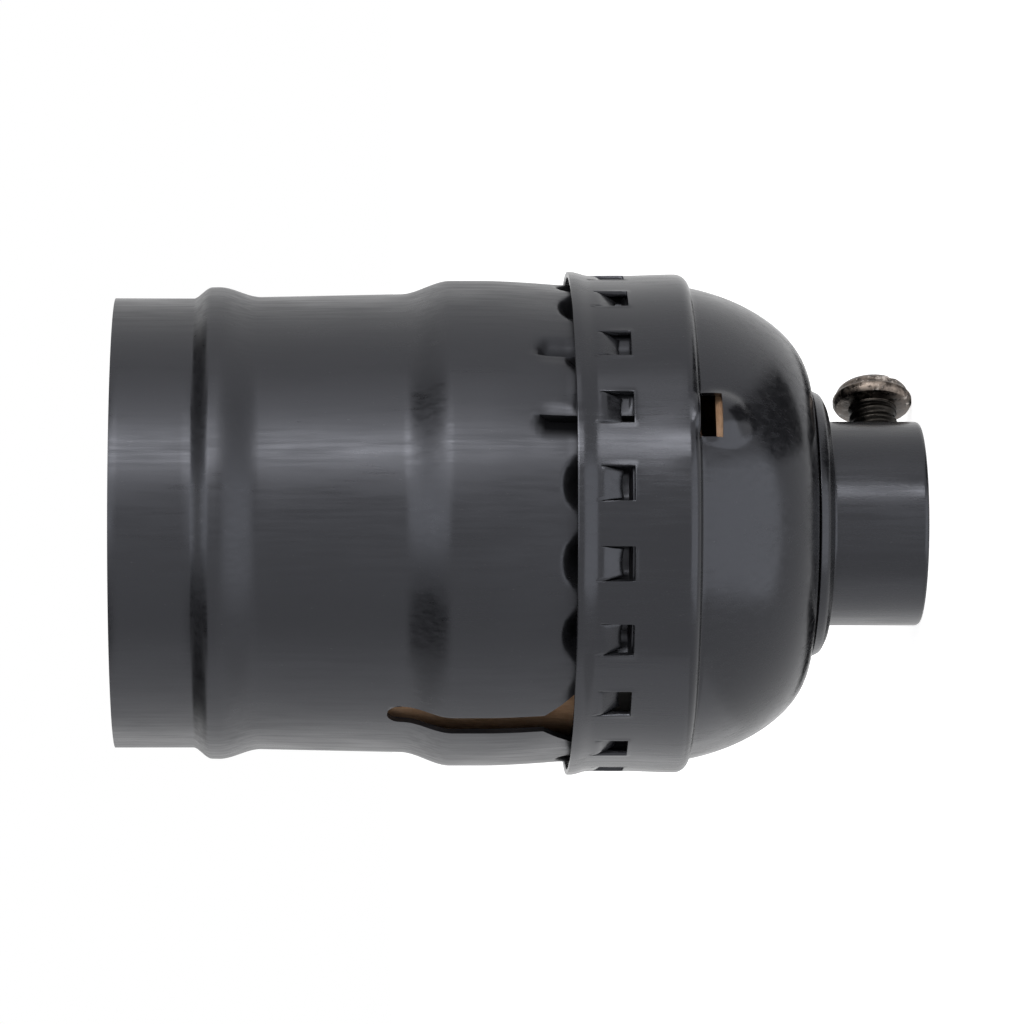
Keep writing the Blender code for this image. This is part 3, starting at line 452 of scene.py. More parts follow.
def turned_piece(name, profile, *materials, steps=128, closed=True, dent=None):
    """Turns an outline round the axis. dent(angle, radius, z) is added to its radius."""
    bm = bmesh.new()
    rings = []
    for radius, z in profile:
        if radius < 1e-9:
            rings.append([bm.verts.new((0.0, 0.0, z))])
            continue
        ring = []
        for step in range(steps):
            angle = tau * step / steps
            change = dent(angle, radius, z) if dent else 0.0
            ring.append(bm.verts.new(around(angle, radius + change, z)))
        rings.append(ring)
    pairs = list(zip(rings, rings[1:]))
    if closed:
        pairs.append((rings[-1], rings[0]))
    for upper, lower in pairs:
        for step in range(steps):
            after = (step + 1) % steps
            if len(upper) == 1:
                bm.faces.new((upper[0], lower[after], lower[step]))
            elif len(lower) == 1:
                bm.faces.new((upper[step], upper[after], lower[0]))
            else:
                bm.faces.new((upper[step], upper[after], lower[after], lower[step]))
    bmesh.ops.recalc_face_normals(bm, faces=bm.faces)
    return new_piece(name, bm, *materials)


def pushed_outline(name, outline, near, far, angle, *materials):
    """A closed block: a flat outline pushed outwards from near to far, at an angle."""
    bm = bmesh.new()
    face = bm.faces.new([bm.verts.new((x, -near, z)) for x, z in outline])
    pushed = bmesh.ops.extrude_face_region(bm, geom=[face])
    moved = [item for item in pushed["geom"] if isinstance(item, bmesh.types.BMVert)]
    bmesh.ops.translate(bm, vec=(0.0, near - far, 0.0), verts=moved)
    bmesh.ops.recalc_face_normals(bm, faces=bm.faces)
    bmesh.ops.rotate(bm, cent=(0, 0, 0), matrix=Matrix.Rotation(angle, 3, "Z"), verts=bm.verts)
    return new_piece(name, bm, *materials)


def in_sector(angle, radius, z):
    """A place in the first notch's share of the turn, which starts at the front."""
    return around(angle + NOTCH_PITCH / 2, radius, z)


def sector_angles():
    """Column angles from one side of a notch's share of the turn to the other."""
    edge_angle = NOTCH_HALF_ANGLE + BURR_WIDTH
    beside = spread(edge_angle + 2 * BURR_WIDTH, NOTCH_PITCH / 2, 4)
    right = spread(0.0, NOTCH_HALF_ANGLE, 4) + [edge_angle] + beside
    return [-angle for angle in reversed(right[1:])] + right


def new_group(name, kinds):
    """A Geometry Nodes group with inputs of these kinds, as a tree, and a wire from each input."""
    group = bpy.data.node_groups.new(name, "GeometryNodeTree")
    group.interface.new_socket("Geometry", in_out="OUTPUT", socket_type="NodeSocketGeometry")
    for input_name, kind in kinds.items():
        group.interface.new_socket(input_name, in_out="INPUT", socket_type="NodeSocket" + kind)
    tree = Tree(group)
    outputs = group.nodes.new("NodeGroupInput").outputs[:len(kinds)]
    return tree, [Wire(tree, output) for output in outputs]


def end_tree(tree, faces, gap, metal):
    """Ends a tree: real geometry, joined where it lies closer than a gap, in its material."""
    real = tree.node("GeometryNodeRealizeInstances", {}, {"Geometry": faces})
    joined = tree.node("GeometryNodeMergeByDistance", {}, {"Geometry": real, "Distance": gap})
    dressed = tree.node("GeometryNodeSetMaterial", {}, {"Geometry": joined, "Material": metal})
    tree.link(dressed, tree.node_tree.nodes.new("NodeGroupOutput"), "Geometry")


def run_group(piece, tree, values):
    """Runs a group on a piece, with a value for each of its inputs."""
    modifier = piece.modifiers.new("nodes", "NODES")
    modifier.node_group = tree.node_tree
    for socket in tree.node_tree.interface.items_tree:
        if socket.name in values:
            modifier[socket.identifier] = values[socket.name]
    make_plain(piece)


def ring_of(name, sector, metal):
    """Sets copies of a sector round the axis, one for each notch, and joins them."""
    kinds = {"Sector": "Geometry", "Count": "Int", "Gap": "Float", "Metal": "Material"}
    tree, (part, number, gap, look) = new_group(name + "_ring", kinds)
    places = tree.node("GeometryNodeMeshLine", {}, {"Count": number, "Offset": (0.0, 0.0, 0.0)})
    step = tree.node("GeometryNodeInputIndex") * tau / number
    turn = tree.node("ShaderNodeCombineXYZ", {}, {"Z": step})
    inputs = {"Points": places, "Instance": part, "Rotation": turn}
    copies = tree.node("GeometryNodeInstanceOnPoints", {}, inputs)
    end_tree(tree, copies, gap, look)
    run_group(sector, tree, {"Count": NOTCH_COUNT, "Gap": 0.002 * MM, "Metal": metal})
    sector.name = name
    return sector


def turn_outwards(piece):
    """Turns a sheet's faces away from the axis."""
    with mesh_of(piece) as bm:
        bmesh.ops.recalc_face_normals(bm, faces=bm.faces)
        bm.normal_update()
        outward = sum(face.normal.dot(face.calc_center_median() * Vector((1, 1, 0))) for face in bm.faces)
        if outward < 0.0:
            bmesh.ops.reverse_faces(bm, faces=bm.faces)


def new_finish(name, colour, roughness, metallic=0.0, specular=0.5):
    """A material with one shader, and its tree, ready for what varies over the surface."""
    material = bpy.data.materials.new(name)
    material.use_nodes = True
    shader = material.node_tree.nodes["Principled BSDF"]
    shader.inputs["Base Color"].default_value = (*colour, 1.0)
    shader.inputs["Roughness"].default_value = roughness
    shader.inputs["Metallic"].default_value = metallic
    shader.inputs["Specular IOR Level"].default_value = specular
    return material, shader, Tree(material.node_tree)


def place_on_piece(tree, stretch=EVEN):
    """Position on the piece in millimetres, stretched along each axis."""
    place = tree.node("ShaderNodeTexCoord", output="Object")
    scale = tuple(factor / MM for factor in stretch)
    return tree.node("ShaderNodeVectorMath", {"operation": "MULTIPLY"}, {0: place, 1: scale})


def noise(tree, stretch, scale, detail=2.0, roughness=0.5):
    place = place_on_piece(tree, stretch)
    inputs = {"Vector": place, "Scale": scale, "Detail": detail, "Roughness": roughness}
    return tree.node("ShaderNodeTexNoise", {}, inputs, "Fac")


def blend_colours(tree, share, first, second):
    mixed = {0: share, 6: first, 7: second}
    for key, value in mixed.items():
        if isinstance(value, tuple) and len(value) == 3:
            mixed[key] = (*value, 1.0)
    return tree.node("ShaderNodeMix", {"data_type": "RGBA"}, mixed, 2)


def feed(tree, shader, colour, roughness, height, strength, depth):
    """Gives a shader what varies: its colour, its roughness and the height of its bump."""
    inputs = {"Strength": strength, "Distance": depth, "Height": height}
    bump = tree.node("ShaderNodeBump", {}, inputs)
    for name, wire in (("Base Color", colour), ("Roughness", roughness), ("Normal", bump)):
        if wire:
            tree.link(wire, shader, name)


def black_finish(name, roughness, graininess, streakiness=0.6):
    """Satin black on drawn metal: faint axial streaks, specks and patches of polish."""
    material, shader, tree = new_finish(name, BLACK, roughness)
    shader.inputs["Specular Tint"].default_value = COOL_GLOSS
    streaks = noise(tree, (1.0, 1.0, 0.05), 2.6, 4.0, 0.65)
    grain = noise(tree, EVEN, 5.0, 3.0, 0.6)
    patches = noise(tree, (0.3, 0.3, 0.2), 0.8, 2.0)
    polish = streaks.ramp(0.3, 0.7, -0.05, 0.07) + patches.ramp(0.3, 0.7, -0.03, 0.05)
    specks = noise(tree, (1.0, 1.0, 0.35), 7.0, 2.0).ramp(0.71, 0.79)
    colour = blend_colours(tree, specks * 0.7, BLACK, SPECK)
    height = streaks * streakiness + grain * graininess
    feed(tree, shader, colour, polish + roughness, height, 0.25, 0.02 * MM)
    return material


def shaded_black_finish(name, roughness, graininess):
    """The same black, with painted deep shade mixed in where the sheet is pressed in."""
    material = black_finish(name, roughness, graininess)
    tree = Tree(material.node_tree)
    black = Wire(tree, material.node_tree.nodes["Principled BSDF"].outputs["BSDF"])
    # A dark matte shader, mixed in by the painted-shade attribute, paints the louvres' recess into shade
    dark = tree.node("ShaderNodeBsdfDiffuse", {}, {"Color": (*PAINTED_DEEP_SHADE, 1.0)})
    shade = tree.node("ShaderNodeAttribute", {"attribute_name": SHADE}, output="Fac")
    mixed = tree.node("ShaderNodeMixShader", {}, {0: shade, 1: black, 2: dark})
    tree.link(mixed, material.node_tree.nodes["Material Output"], "Surface")
    return material


def paper_finish():
    """Brown fibre paper: long soft fibres and mottling."""
    material, shader, tree = new_finish("fibre_paper", PAPER, 0.85, specular=0.15)
    fibres = noise(tree, (1.0, 1.0, 0.25), 3.0, 5.0, 0.7)
    mottle = noise(tree, EVEN, 0.7, 3.0)
    colour = blend_colours(tree, fibres.ramp(0.3, 0.7), PAPER_DARK, PAPER)
    colour = blend_colours(tree, mottle.ramp(0.4, 0.7) * 0.4, colour, PAPER_PALE)
    feed(tree, shader, colour, None, fibres, 0.5, 0.05 * MM)
    return material


def bronze_finish():
    """Dark antique plating, mottled brown, with worn bright facets, and painted shade on the shank and
    under the head.
    """
    material, shader, tree = new_finish("antique_bronze", BRONZE, 0.34, 1.0)
    mottle = noise(tree, EVEN, 1.6, 4.0, 0.65)
    colour = blend_colours(tree, mottle.ramp(0.35, 0.65), BRONZE_DARK, BRONZE)
    worn = noise(tree, EVEN, 0.9, 5.0, 0.7).ramp(0.58, 0.66)
    colour = blend_colours(tree, worn, colour, BRONZE_WORN)
    # Painted shade: the shank and the underside of the head go dark below the seat
    axis = tuple(around(SET_SCREW_ANGLE, 1.0, 0.0))
    inputs = {0: place_on_piece(tree), 1: axis}
    up = tree.node("ShaderNodeVectorMath", {"operation": "DOT_PRODUCT"}, inputs, "Value")
    seat = SET_SCREW_SEAT / MM
    colour = blend_colours(tree, up.ramp(seat - 0.2, seat + 0.4), BRONZE_PAINTED_SHADE, colour)
    feed(tree, shader, colour, mottle.ramp(0.3, 0.7, 0.22, 0.5), mottle, 0.5, 0.06 * MM)
    return material


def bright_finish(name, colour, dark, roughness):
    """Plain bright metal with fine rolling lines and a faint tarnish."""
    material, shader, tree = new_finish(name, colour, roughness, 1.0)
    lines = noise(tree, (1.0, 1.0, 0.08), 3.0, 3.0)
    tarnish = noise(tree, EVEN, 0.5, 4.0, 0.6).ramp(0.4, 0.75)
    blend = blend_colours(tree, tarnish * 0.6, colour, dark)
    polish = lines.ramp(0.3, 0.7, roughness - 0.06, roughness + 0.1)
    feed(tree, shader, blend, polish, lines, 0.2, 0.01 * MM)
    return material


def moulded_finish():
    """Dark moulding compound with fine flow marks."""
    material, shader, tree = new_finish("moulded_body", MOULDED, 0.35)
    flow = noise(tree, (0.6, 0.6, 0.2), 1.1, 5.0, 0.6)
    colour = blend_colours(tree, flow.ramp(0.35, 0.7), MOULDED, MOULDED_PALE)
    feed(tree, shader, colour, flow.ramp(0.3, 0.7, 0.28, 0.45), flow, 0.2, 0.03 * MM)
    return material


def dome_outline(steps):
    """The outer curve of the dome, from the crease down to its foot."""
    rise = CREASE_Z - DOME_Z
    width = CREASE_RADIUS - DOME_FOOT_RADIUS
    crease = Vector((CREASE_RADIUS, CREASE_Z))
    foot = Vector((DOME_FOOT_RADIUS, DOME_Z))
    upper_handle = crease - Vector((0.115 * width, 0.504 * rise))
    lower_handle = foot + Vector((0.5 * width, 0.01 * rise))
    curve = interpolate_bezier(crease, upper_handle, lower_handle, foot, steps + 1)
    return [(point.x, point.y) for point in curve]


def band_radius(z):
    """The band narrows slightly towards the notches and flares at the lip."""
    flare = ease((z - LIP_Z + LIP_HEIGHT) / (LIP_HEIGHT - LIP_STRAIGHT))
    swell = ease((NOTCH_FOOT_Z - z) / (NOTCH_FOOT_Z - CREASE_Z - CORNER_RADIUS))
    return WAIST_RADIUS + (LIP_RADIUS - WAIST_RADIUS) * flare + (BAND_RADIUS - WAIST_RADIUS) * swell


def cap_outline():
    tongue = ((NOTCH_TOP_Z, 2), (NOTCH_TOP_Z - TONGUE_LENGTH, 9), (NOTCH_FOOT_Z, 2))
    below = ((NOTCH_FOOT_Z - 0.4 * MM, 4), (CREASE_Z + CORNER_RADIUS, 8))
    levels = levels_down(LIP_Z, (LIP_Z - LIP_HEIGHT, 10), *tongue, *below)
    outline = [(band_radius(z), z) for z in levels]
    for turn in spread(0.0, pi / 2, 8)[1:]:
        radius = CREASE_RADIUS + CORNER_RADIUS * cos(turn)
        outline.append((radius, CREASE_Z + CORNER_RADIUS * (1 - sin(turn))))
    outline += dome_outline(38)[1:]
    outline.append((DOME_FOOT_RADIUS - 4.0 * MM, DOME_Z))
    return outline


def nearest_row(outline, z):
    return min(range(len(outline)), key=lambda row: abs(outline[row][1] - z))


def burr(angle, z):
    """The metal along a notch's sides and below it is dragged out a little."""
    below = ease(1.0 - (NOTCH_FOOT_Z - z) / BURR_REACH)
    beside = ease(1.0 - (abs(angle) - NOTCH_HALF_ANGLE) / BURR_WIDTH)
    down = ease((NOTCH_TOP_Z - z) / TONGUE_LENGTH)
    return BURR_HEIGHT * below * beside * down


def bent_run(share, bend):
    """Rises from 0 to 1: a soft bend over the first part, then straight."""
    run = share * share / (2 * bend) if share < bend else share - bend / 2
    return run / (1 - bend / 2)


def tongue_point(angle, z):
    """A point of the tongue, which narrows and curves inwards from the notch's top."""
    share = (NOTCH_TOP_Z - z) / TONGUE_LENGTH
    depth = TONGUE_DEPTH * bent_run(share, TONGUE_BEND)
    narrowed = angle * (1.0 - TONGUE_TAPER * share / (NOTCH_HALF_ANGLE * WAIST_RADIUS))
    hollow = TONGUE_HOLLOW * (1.0 - (angle / NOTCH_HALF_ANGLE) ** 2) * share**6
    return in_sector(narrowed, band_radius(z) - depth, z + hollow)


def cap_sector():
    """One notch's share of the cap's outer surface, with its notch and tongue."""
    outline = cap_outline()
    angles = sector_angles()
    top = nearest_row(outline, NOTCH_TOP_Z)
    end = nearest_row(outline, NOTCH_TOP_Z - TONGUE_LENGTH)
    foot = nearest_row(outline, NOTCH_FOOT_Z)
    first = min(range(len(angles)), key=lambda column: abs(angles[column] + NOTCH_HALF_ANGLE))
    last = len(angles) - 1 - first
    bm = bmesh.new()
    grid = []
    for radius, z in outline:
        grid.append([bm.verts.new(in_sector(angle, radius + burr(angle, z), z)) for angle in angles])
    for row in range(len(outline) - 1):
        for column in range(len(angles) - 1):
            if not (top <= row < foot and first <= column < last):
                below = grid[row + 1]
                bm.faces.new((grid[row][column], grid[row][column + 1], below[column + 1], below[column]))
    upper = grid[top][first:last + 1]
    for radius, z in outline[top + 1:end + 1]:
        lower = [bm.verts.new(tongue_point(angle, z)) for angle in angles[first:last + 1]]
        for corners in zip(upper, upper[1:], lower[1:], lower):
            bm.faces.new(corners)
        upper = lower
    bmesh.ops.delete(bm, geom=[vert for vert in bm.verts if not vert.link_faces], context="VERTS")
    return new_piece("cap_sector", bm)


def raise_hood(piece):
    """Presses the half-round hood out of the dome, below the window."""
    for vert in piece.data.vertices:
        if DOME_Z + 1 * MM < vert.co.z < CREASE_Z + 1 * MM:
            radius = radius_of(vert.co)
            across = (angle_of(vert.co) - WINDOW_ANGLE) * radius / HOOD_HALF_WIDTH
            down = (HOOD_Z - vert.co.z) / HOOD_LENGTH
            share = hypot(across, down) ** HOOD_FLATNESS
            if share < 1.0:
                rise = HOOD_RISE * (1.0 - share) ** HOOD_FALL
                vert.co = around(angle_of(vert.co), radius + rise, vert.co.z)


def make_cap(metal):
    cap = ring_of("cap_shell", cap_sector(), metal)
    raise_hood(cap)
    turn_outwards(cap)
    thicken(cap, SHEET)
    soften(cap, CAP_ROUNDING)
    make_plain(cap)
    half = WINDOW_WIDTH / 2
    corner = 0.35 * MM
    window = [(-half, HOOD_Z, 0), (half, HOOD_Z, 0)]
    window += [(half, WINDOW_TOP_Z, corner), (-half, WINDOW_TOP_Z, corner)]
    near = CREASE_RADIUS - 4 * MM
    far = CREASE_RADIUS + 3 * MM
    carve(cap, pushed_outline("window", rounded(window), near, far, WINDOW_ANGLE, metal))
    settle(cap, "base", "black_metal", "cap")


def skirt_radius(z):
    """The shell narrows a little from the land below its shoulder down to its skirt."""
    share = min(1.0, max(0.0, (LAND_Z - z) / SKIRT_TAPER)) ** SKIRT_CURVE
    return SHOULDER_RADIUS + (SKIRT_RADIUS - SHOULDER_RADIUS) * share


def bead_radius(z):
    """The mouth's wall with its rolled bead, steep above and sloping below."""
    bead_foot_z = BEAD_CREST_Z - BEAD_FALL
    share = (BEAD_TOP_Z - z) / (BEAD_TOP_Z - bead_foot_z)
    rise = ease((BEAD_TOP_Z - z) / BEAD_STEP) ** BEAD_STEEPNESS
    fall = 1.0 - ease((BEAD_CREST_Z - z) / BEAD_FALL)
    return MOUTH_RADIUS + (BARREL_TOP_RADIUS - MOUTH_RADIUS) * share + BEAD_RISE * rise * fall


def shell_outline():
    bead_foot_z = BEAD_CREST_Z - BEAD_FALL
    outline = [(MOUTH_RADIUS, z) for z in spread(MOUTH_Z, BEAD_TOP_Z, 8)]
    bead = levels_down(BEAD_TOP_Z, (BEAD_TOP_Z - BEAD_STEP, 12), (bead_foot_z, 20))
    outline += [(bead_radius(z), z) for z in bead[1:]]
    for share in spread(0.0, 1.0, 10)[1:]:
        radius = BARREL_TOP_RADIUS + (BARREL_FOOT_RADIUS - BARREL_TOP_RADIUS) * share
        outline.append((radius, bead_foot_z + (BARREL_FOOT_Z - bead_foot_z) * share))
    for share in spread(0.0, 1.0, 20)[1:]:
        radius = BARREL_FOOT_RADIUS + (SHOULDER_RADIUS - BARREL_FOOT_RADIUS) * ease(share)
        outline.append((radius, BARREL_FOOT_Z - SHOULDER_HEIGHT * share))
    skirt = ((SKIRT_Z, 10), (LIP_Z - 0.6 * MM, 18), (POCKET_FOOT_Z, 8), (POCKET_LEDGE_Z, 3))
    levels = levels_down(BARREL_FOOT_Z - SHOULDER_HEIGHT, (LAND_Z, 4), *skirt)
    return outline + [(skirt_radius(z), z) for z in levels[1:] + [SHELL_END_Z]]


def pocket_depth(angle, z):
    """A pocket with an oval top, steep sides and a sharp ledge at its foot."""
    across = abs(angle) / POCKET_HALF_ANGLE
    up = max(0.0, (z - POCKET_MIDDLE_Z) / (POCKET_TOP_Z - POCKET_MIDDLE_Z))
    inside = 1.0 - (across**POCKET_OVAL + up**POCKET_OVAL) ** (1.0 / POCKET_OVAL)
    ledge = ease((z - POCKET_LEDGE_Z) / (POCKET_FOOT_Z - POCKET_LEDGE_Z))
    return POCKET_DEPTH * ease(inside / POCKET_BOTTOM) ** POCKET_STEEPNESS * ledge if inside > 0.0 else 0.0


def shell_sector():
    """One pocket's share of the shell's outer surface."""
    bm = bmesh.new()

    def place(row, angle):
        radius, z = row
        return in_sector(angle, radius - pocket_depth(angle, z), z)

    lattice(bm, shell_outline(), sector_angles(), place)
    return new_piece("shell_sector", bm)


def ease_pockets(bm):
    """The pockets beside the louvres are hardly pressed in, or not at all."""
    for vert in bm.verts:
        radius = radius_of(vert.co)
        plain = skirt_radius(vert.co.z)
        if vert.co.z < SKIRT_Z and radius < plain:
            for low, high, share in FLAT_POCKETS:
                if radians(low) < angle_of(vert.co) < radians(high):
                    vert.co = around(angle_of(vert.co), plain - share * (plain - radius), vert.co.z)


def press_louvre(bm, blend_angle, cut_angle, darkness):
    """Presses a strip of the shell inwards: a steep wall at one side, a soft blend at the other.

    The louvre's darkness, times the share pressed in, is kept on the surface as painted shade.
    """
    side = copysign(1.0, blend_angle - cut_angle)
    shade = bm.verts.layers.float.get(SHADE) or bm.verts.layers.float.new(SHADE)
    region = [vert for vert in bm.verts if vert.co.z < LOUVRE_TOP_Z + 0.2 * MM]

    def move_column(near, target):
        angles = {round(angle_of(vert.co), 4) for vert in region}
        column_angle = min(angles, key=lambda angle: abs(angle - near))
        for vert in region:
            if abs(angle_of(vert.co) - column_angle) < SAME_ANGLE:
                vert.co = around(target, radius_of(vert.co), vert.co.z)
        return column_angle

    edge_column = move_column(cut_angle, cut_angle)
    move_column(edge_column + side * LOUVRE_NEXT_COLUMN, cut_angle + side * LOUVRE_WALL)
    for vert in region:
        angle = angle_of(vert.co)
        share = (angle - blend_angle) / (cut_angle + side * LOUVRE_WALL - blend_angle)
        if not 0.0 < share < 1.6 or vert.co.z > LOUVRE_TOP_Z:
            continue
        along = min(1.0, (LOUVRE_TOP_Z - vert.co.z) / LOUVRE_END)
        beyond = (cut_angle - angle) * side
        if beyond > -1e-4:
            depth = LOUVRE_DIP * ease(1.0 - beyond / LOUVRE_DIP_ANGLE) * along
        else:
            inside = max(0.0, 1.0 - hypot(1.0 - min(1.0, share), 1.0 - along))
            depth = LOUVRE_DEPTH * inside**LOUVRE_STEEPNESS
            # Painted shade, strongest where the strip is pressed in deepest
            vert[shade] = darkness * ease(inside / 0.5)
        vert.co = around(angle, min(radius_of(vert.co), skirt_radius(vert.co.z) - depth), vert.co.z)


def make_outer_shell(metal):
    shell = ring_of("drawn_shell", shell_sector(), metal)
    with mesh_of(shell) as bm:
        ease_pockets(bm)
        for blend, cut, darkness in LOUVRES:
            press_louvre(bm, radians(blend), radians(cut), darkness)
    turn_outwards(shell)
    thicken(shell, SHEET)
    soften(shell, SHELL_ROUNDING)
    make_plain(shell)
    half = LONG_SLOT_WIDTH / 2
    upper = half + FLARE_UPPER_SLOPE * FLARE_LENGTH
    lower = half + FLARE_LOWER_SLOPE * FLARE_LENGTH
    below_z = SHELL_FOOT_Z - 1 * MM
    arch_z = LONG_SLOT_TOP_Z - half
    slot = [(half * cos(turn), arch_z + half * sin(turn)) for turn in spread(0.0, pi, 12)]
    slot += [(-half, FLARE_Z), (-lower, FLARE_Z - FLARE_LENGTH), (-lower, below_z)]
    slot += [(upper, below_z), (upper, FLARE_Z - FLARE_LENGTH), (half, FLARE_Z)]
    near = SKIRT_RADIUS - 4 * MM
    far = SHOULDER_RADIUS + 2 * MM
    carve(shell, pushed_outline("long_slot", slot, near, far, LONG_SLOT_ANGLE, metal), "MANIFOLD")
    upper_edge = LONG_SLOT_ANGLE + half / SHOULDER_RADIUS
    round_cut(shell, upper_edge, half, FLARE_Z, LONG_SLOT_TOP_Z)
    settle(shell, "base", "black_metal", "outer_shell")


def make_shell_liner(paper):
    """A paper sleeve rolled once round, whose ends overlap at the back."""
    inner = LINER_RADIUS - 0.6 * MM
    edge = 0.1 * MM
    corners = [(LINER_RADIUS, LINER_TOP_Z, edge), (LINER_RADIUS, LINER_FOOT_Z, edge)]
    corners += [(inner, LINER_FOOT_Z, edge), (inner, LINER_TOP_Z, edge)]

    def wave(angle, radius, z):
        overlap = 0.25 * MM if radius < LINER_RADIUS - 0.3 * MM and 2.2 < angle < 3.4 else 0.0
        return -overlap - 0.04 * MM * (1.0 + sin(3.0 * angle))

    liner = turned_piece("paper_sleeve", rounded(corners), paper, steps=144, dent=wave)
    settle(liner, "base", "brown_paper", "shell_liner")


def make_cap_liner(paper):
    """A moulded paper cup that follows the inside of the dome."""
    gap = SHEET + 0.3 * MM
    outer = []
    curve = dome_outline(40)
    for (radius, z), (lower_radius, lower_z) in zip(curve, curve[1:]):
        run = Vector((lower_radius - radius, lower_z - z)).normalized()
        moved = Vector((radius + run.y * gap, z - run.x * gap))
        inside = CAP_LINER_FOOT_Z + 0.3 * MM < moved.y < CAP_LINER_TOP_Z - 0.3 * MM
        if inside and moved.x > FLANGE_RADIUS + 1.2 * MM:
            outer.append(moved)
    wall = 0.5 * MM
    inner = [Vector((point.x - 0.75 * wall, point.y + 0.66 * wall)) for point in outer]
    outline = [(point.x, point.y) for point in outer + inner[::-1]]
    liner = turned_piece("paper_cup", outline, paper, steps=96)
    settle(liner, "base", "brown_paper", "cap_liner")


def make_neck(metal):
    """The neck with its flange, its threaded bore and the collar peened inside the cap."""
    bore = BORE_RADIUS
    neck = NECK_RADIUS
    spigot = bore + 1.8 * MM
    collar = spigot + 1.1 * MM
    collar_z = PEEN_TOP_Z - 0.8 * MM
    seat = FLANGE_RADIUS - 0.8 * MM
    flange_top_z = DOME_Z - 0.2 * MM
    corners = [
        (collar, PEEN_TOP_Z, 0.25 * MM),
        (collar, collar_z, 0.1 * MM),
        (spigot, collar_z, 0),
        (spigot, DOME_Z, 0),
        (seat, DOME_Z, 0),
        (seat, flange_top_z, 0.1 * MM),
        (FLANGE_RADIUS, flange_top_z, 0.15 * MM),
        (FLANGE_RADIUS - 0.35 * MM, NECK_FLANGE_Z, 0.3 * MM),
        (FLANGE_RADIUS - 1.35 * MM, NECK_FLANGE_Z - 0.5 * MM, 0.3 * MM),
        (neck, NECK_FLANGE_Z - 0.5 * MM, 0.3 * MM),
        (neck, 0.0, 0.4 * MM),
        (bore + 0.45 * MM, 0.0, 0.1 * MM),
    ]
    outline = rounded(corners + [(bore, 0.45 * MM, 0)], closed=False, steps=6)
    outline += [(bore, z) for z in spread(0.45 * MM, PEEN_TOP_Z - 0.4 * MM, 110)[1:]]
    outline.append((bore + 0.4 * MM, PEEN_TOP_Z))

    def bore_thread(angle, radius, z):
        if radius > bore + 1e-6:
            return 0.0
        wave = (z / BORE_PITCH - angle / tau) % 1.0
        return 0.5 * MM * abs(wave - 0.5) * 0.9

    piece = turned_piece("neck_and_flange", outline, metal, steps=144, dent=bore_thread)
    hole_outline = [(0.0, 8 * MM), (SCREW_HOLE_RADIUS, 8 * MM), (SCREW_HOLE_RADIUS, 0.0), (0.0, 0.0)]
    hole = turned_piece("screw_hole", hole_outline, metal, steps=40, closed=False)
    hole.data.transform(stand_along(SET_SCREW_ANGLE, 2.5 * MM, SET_SCREW_Z))
    carve(piece, hole)
    settle(piece, "base", "black_metal", "neck_bushing")


def stand_along(angle, radius, z):
    """Moves something that stands on z = 0 to stand outwards from a place round the axis."""
    direction = around(angle, 1.0, 0.0)
    turn = direction.to_track_quat("Z", "Y").to_matrix().to_4x4()
    return Matrix.Translation(around(angle, radius, z)) @ turn


def slotted_screw(name, metal, shank, length, head, head_height, pitch):
    """A screw with its head up, its thread cut round the shank, and a slot across the head."""
    outline = [(0.0, head_height)]
    for turn in spread(0.0, pi / 2, 10)[1:]:
        outline.append((0.93 * head * sin(turn) ** 0.9, head_height * (0.45 + 0.55 * cos(turn))))
    outline += [(head, 0.36 * head_height), (head, 0.2 * head_height), (0.94 * head, 0.06 * head_height)]
    outline += [(1.1 * shank, 0.0)]
    rows = round(length / pitch * 8)
    outline += [(shank, -length * row / rows) for row in range(rows + 1)]
    outline.append((0.0, -length))

    def thread(angle, radius, z):
        if radius > shank + 1e-6 or z > -0.25 * pitch:
            return 0.0
        wave = 0.5 + 0.5 * cos(tau * z / pitch - angle)
        near_tip = ease((length + z) / (1.2 * pitch))
        return -0.13 * shank * wave - 0.2 * shank * (1.0 - near_tip)

    screw = turned_piece(name, outline, metal, steps=48, closed=False, dent=thread)
    bm = bmesh.new()
    bmesh.ops.create_cube(bm, size=1.0)
    bmesh.ops.scale(bm, vec=(4 * head, SCREW_SLOT_WIDTH, 2 * SCREW_SLOT_DEPTH), verts=bm.verts)
    bmesh.ops.translate(bm, vec=(0.0, 0.0, head_height), verts=bm.verts)
    carve(screw, new_piece(name + "_slot", bm, metal))
    return screw


def make_set_screw(bronze):
    screw = slotted_screw("neck_set_screw", bronze, 1.95 * MM, 5.5 * MM, 3.2 * MM, 2.45 * MM, 0.8 * MM)
    screw.data.transform(Matrix.Rotation(SET_SCREW_TURN, 4, "Z"))
    screw.data.transform(stand_along(SET_SCREW_ANGLE, SET_SCREW_SEAT, SET_SCREW_Z))
    soften(screw, 0.05 * MM, 40.0)
    settle(screw, "set_screw", "antique_steel", "set_screw", sharp=40.0)


def make_terminal_screws(brass, nickel):
    for side, name, metal, slot in ((-1, "hot", brass, "brass"), (1, "neutral", nickel, "nickel")):
        low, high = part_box(name + "_terminal_screw")
        screw = slotted_screw(name + "_screw", metal, 1.55 * MM, 3.0 * MM, 2.9 * MM, 2.2 * MM, 0.7 * MM)
        seat = (high.x if side > 0 else -low.x) - 2.2 * MM
        screw.data.transform(stand_along(side * pi / 2, seat, (low.z + high.z) / 2))
        settle(screw, name + "_terminal_screw", slot, name + "_terminal_screw", sharp=40.0)


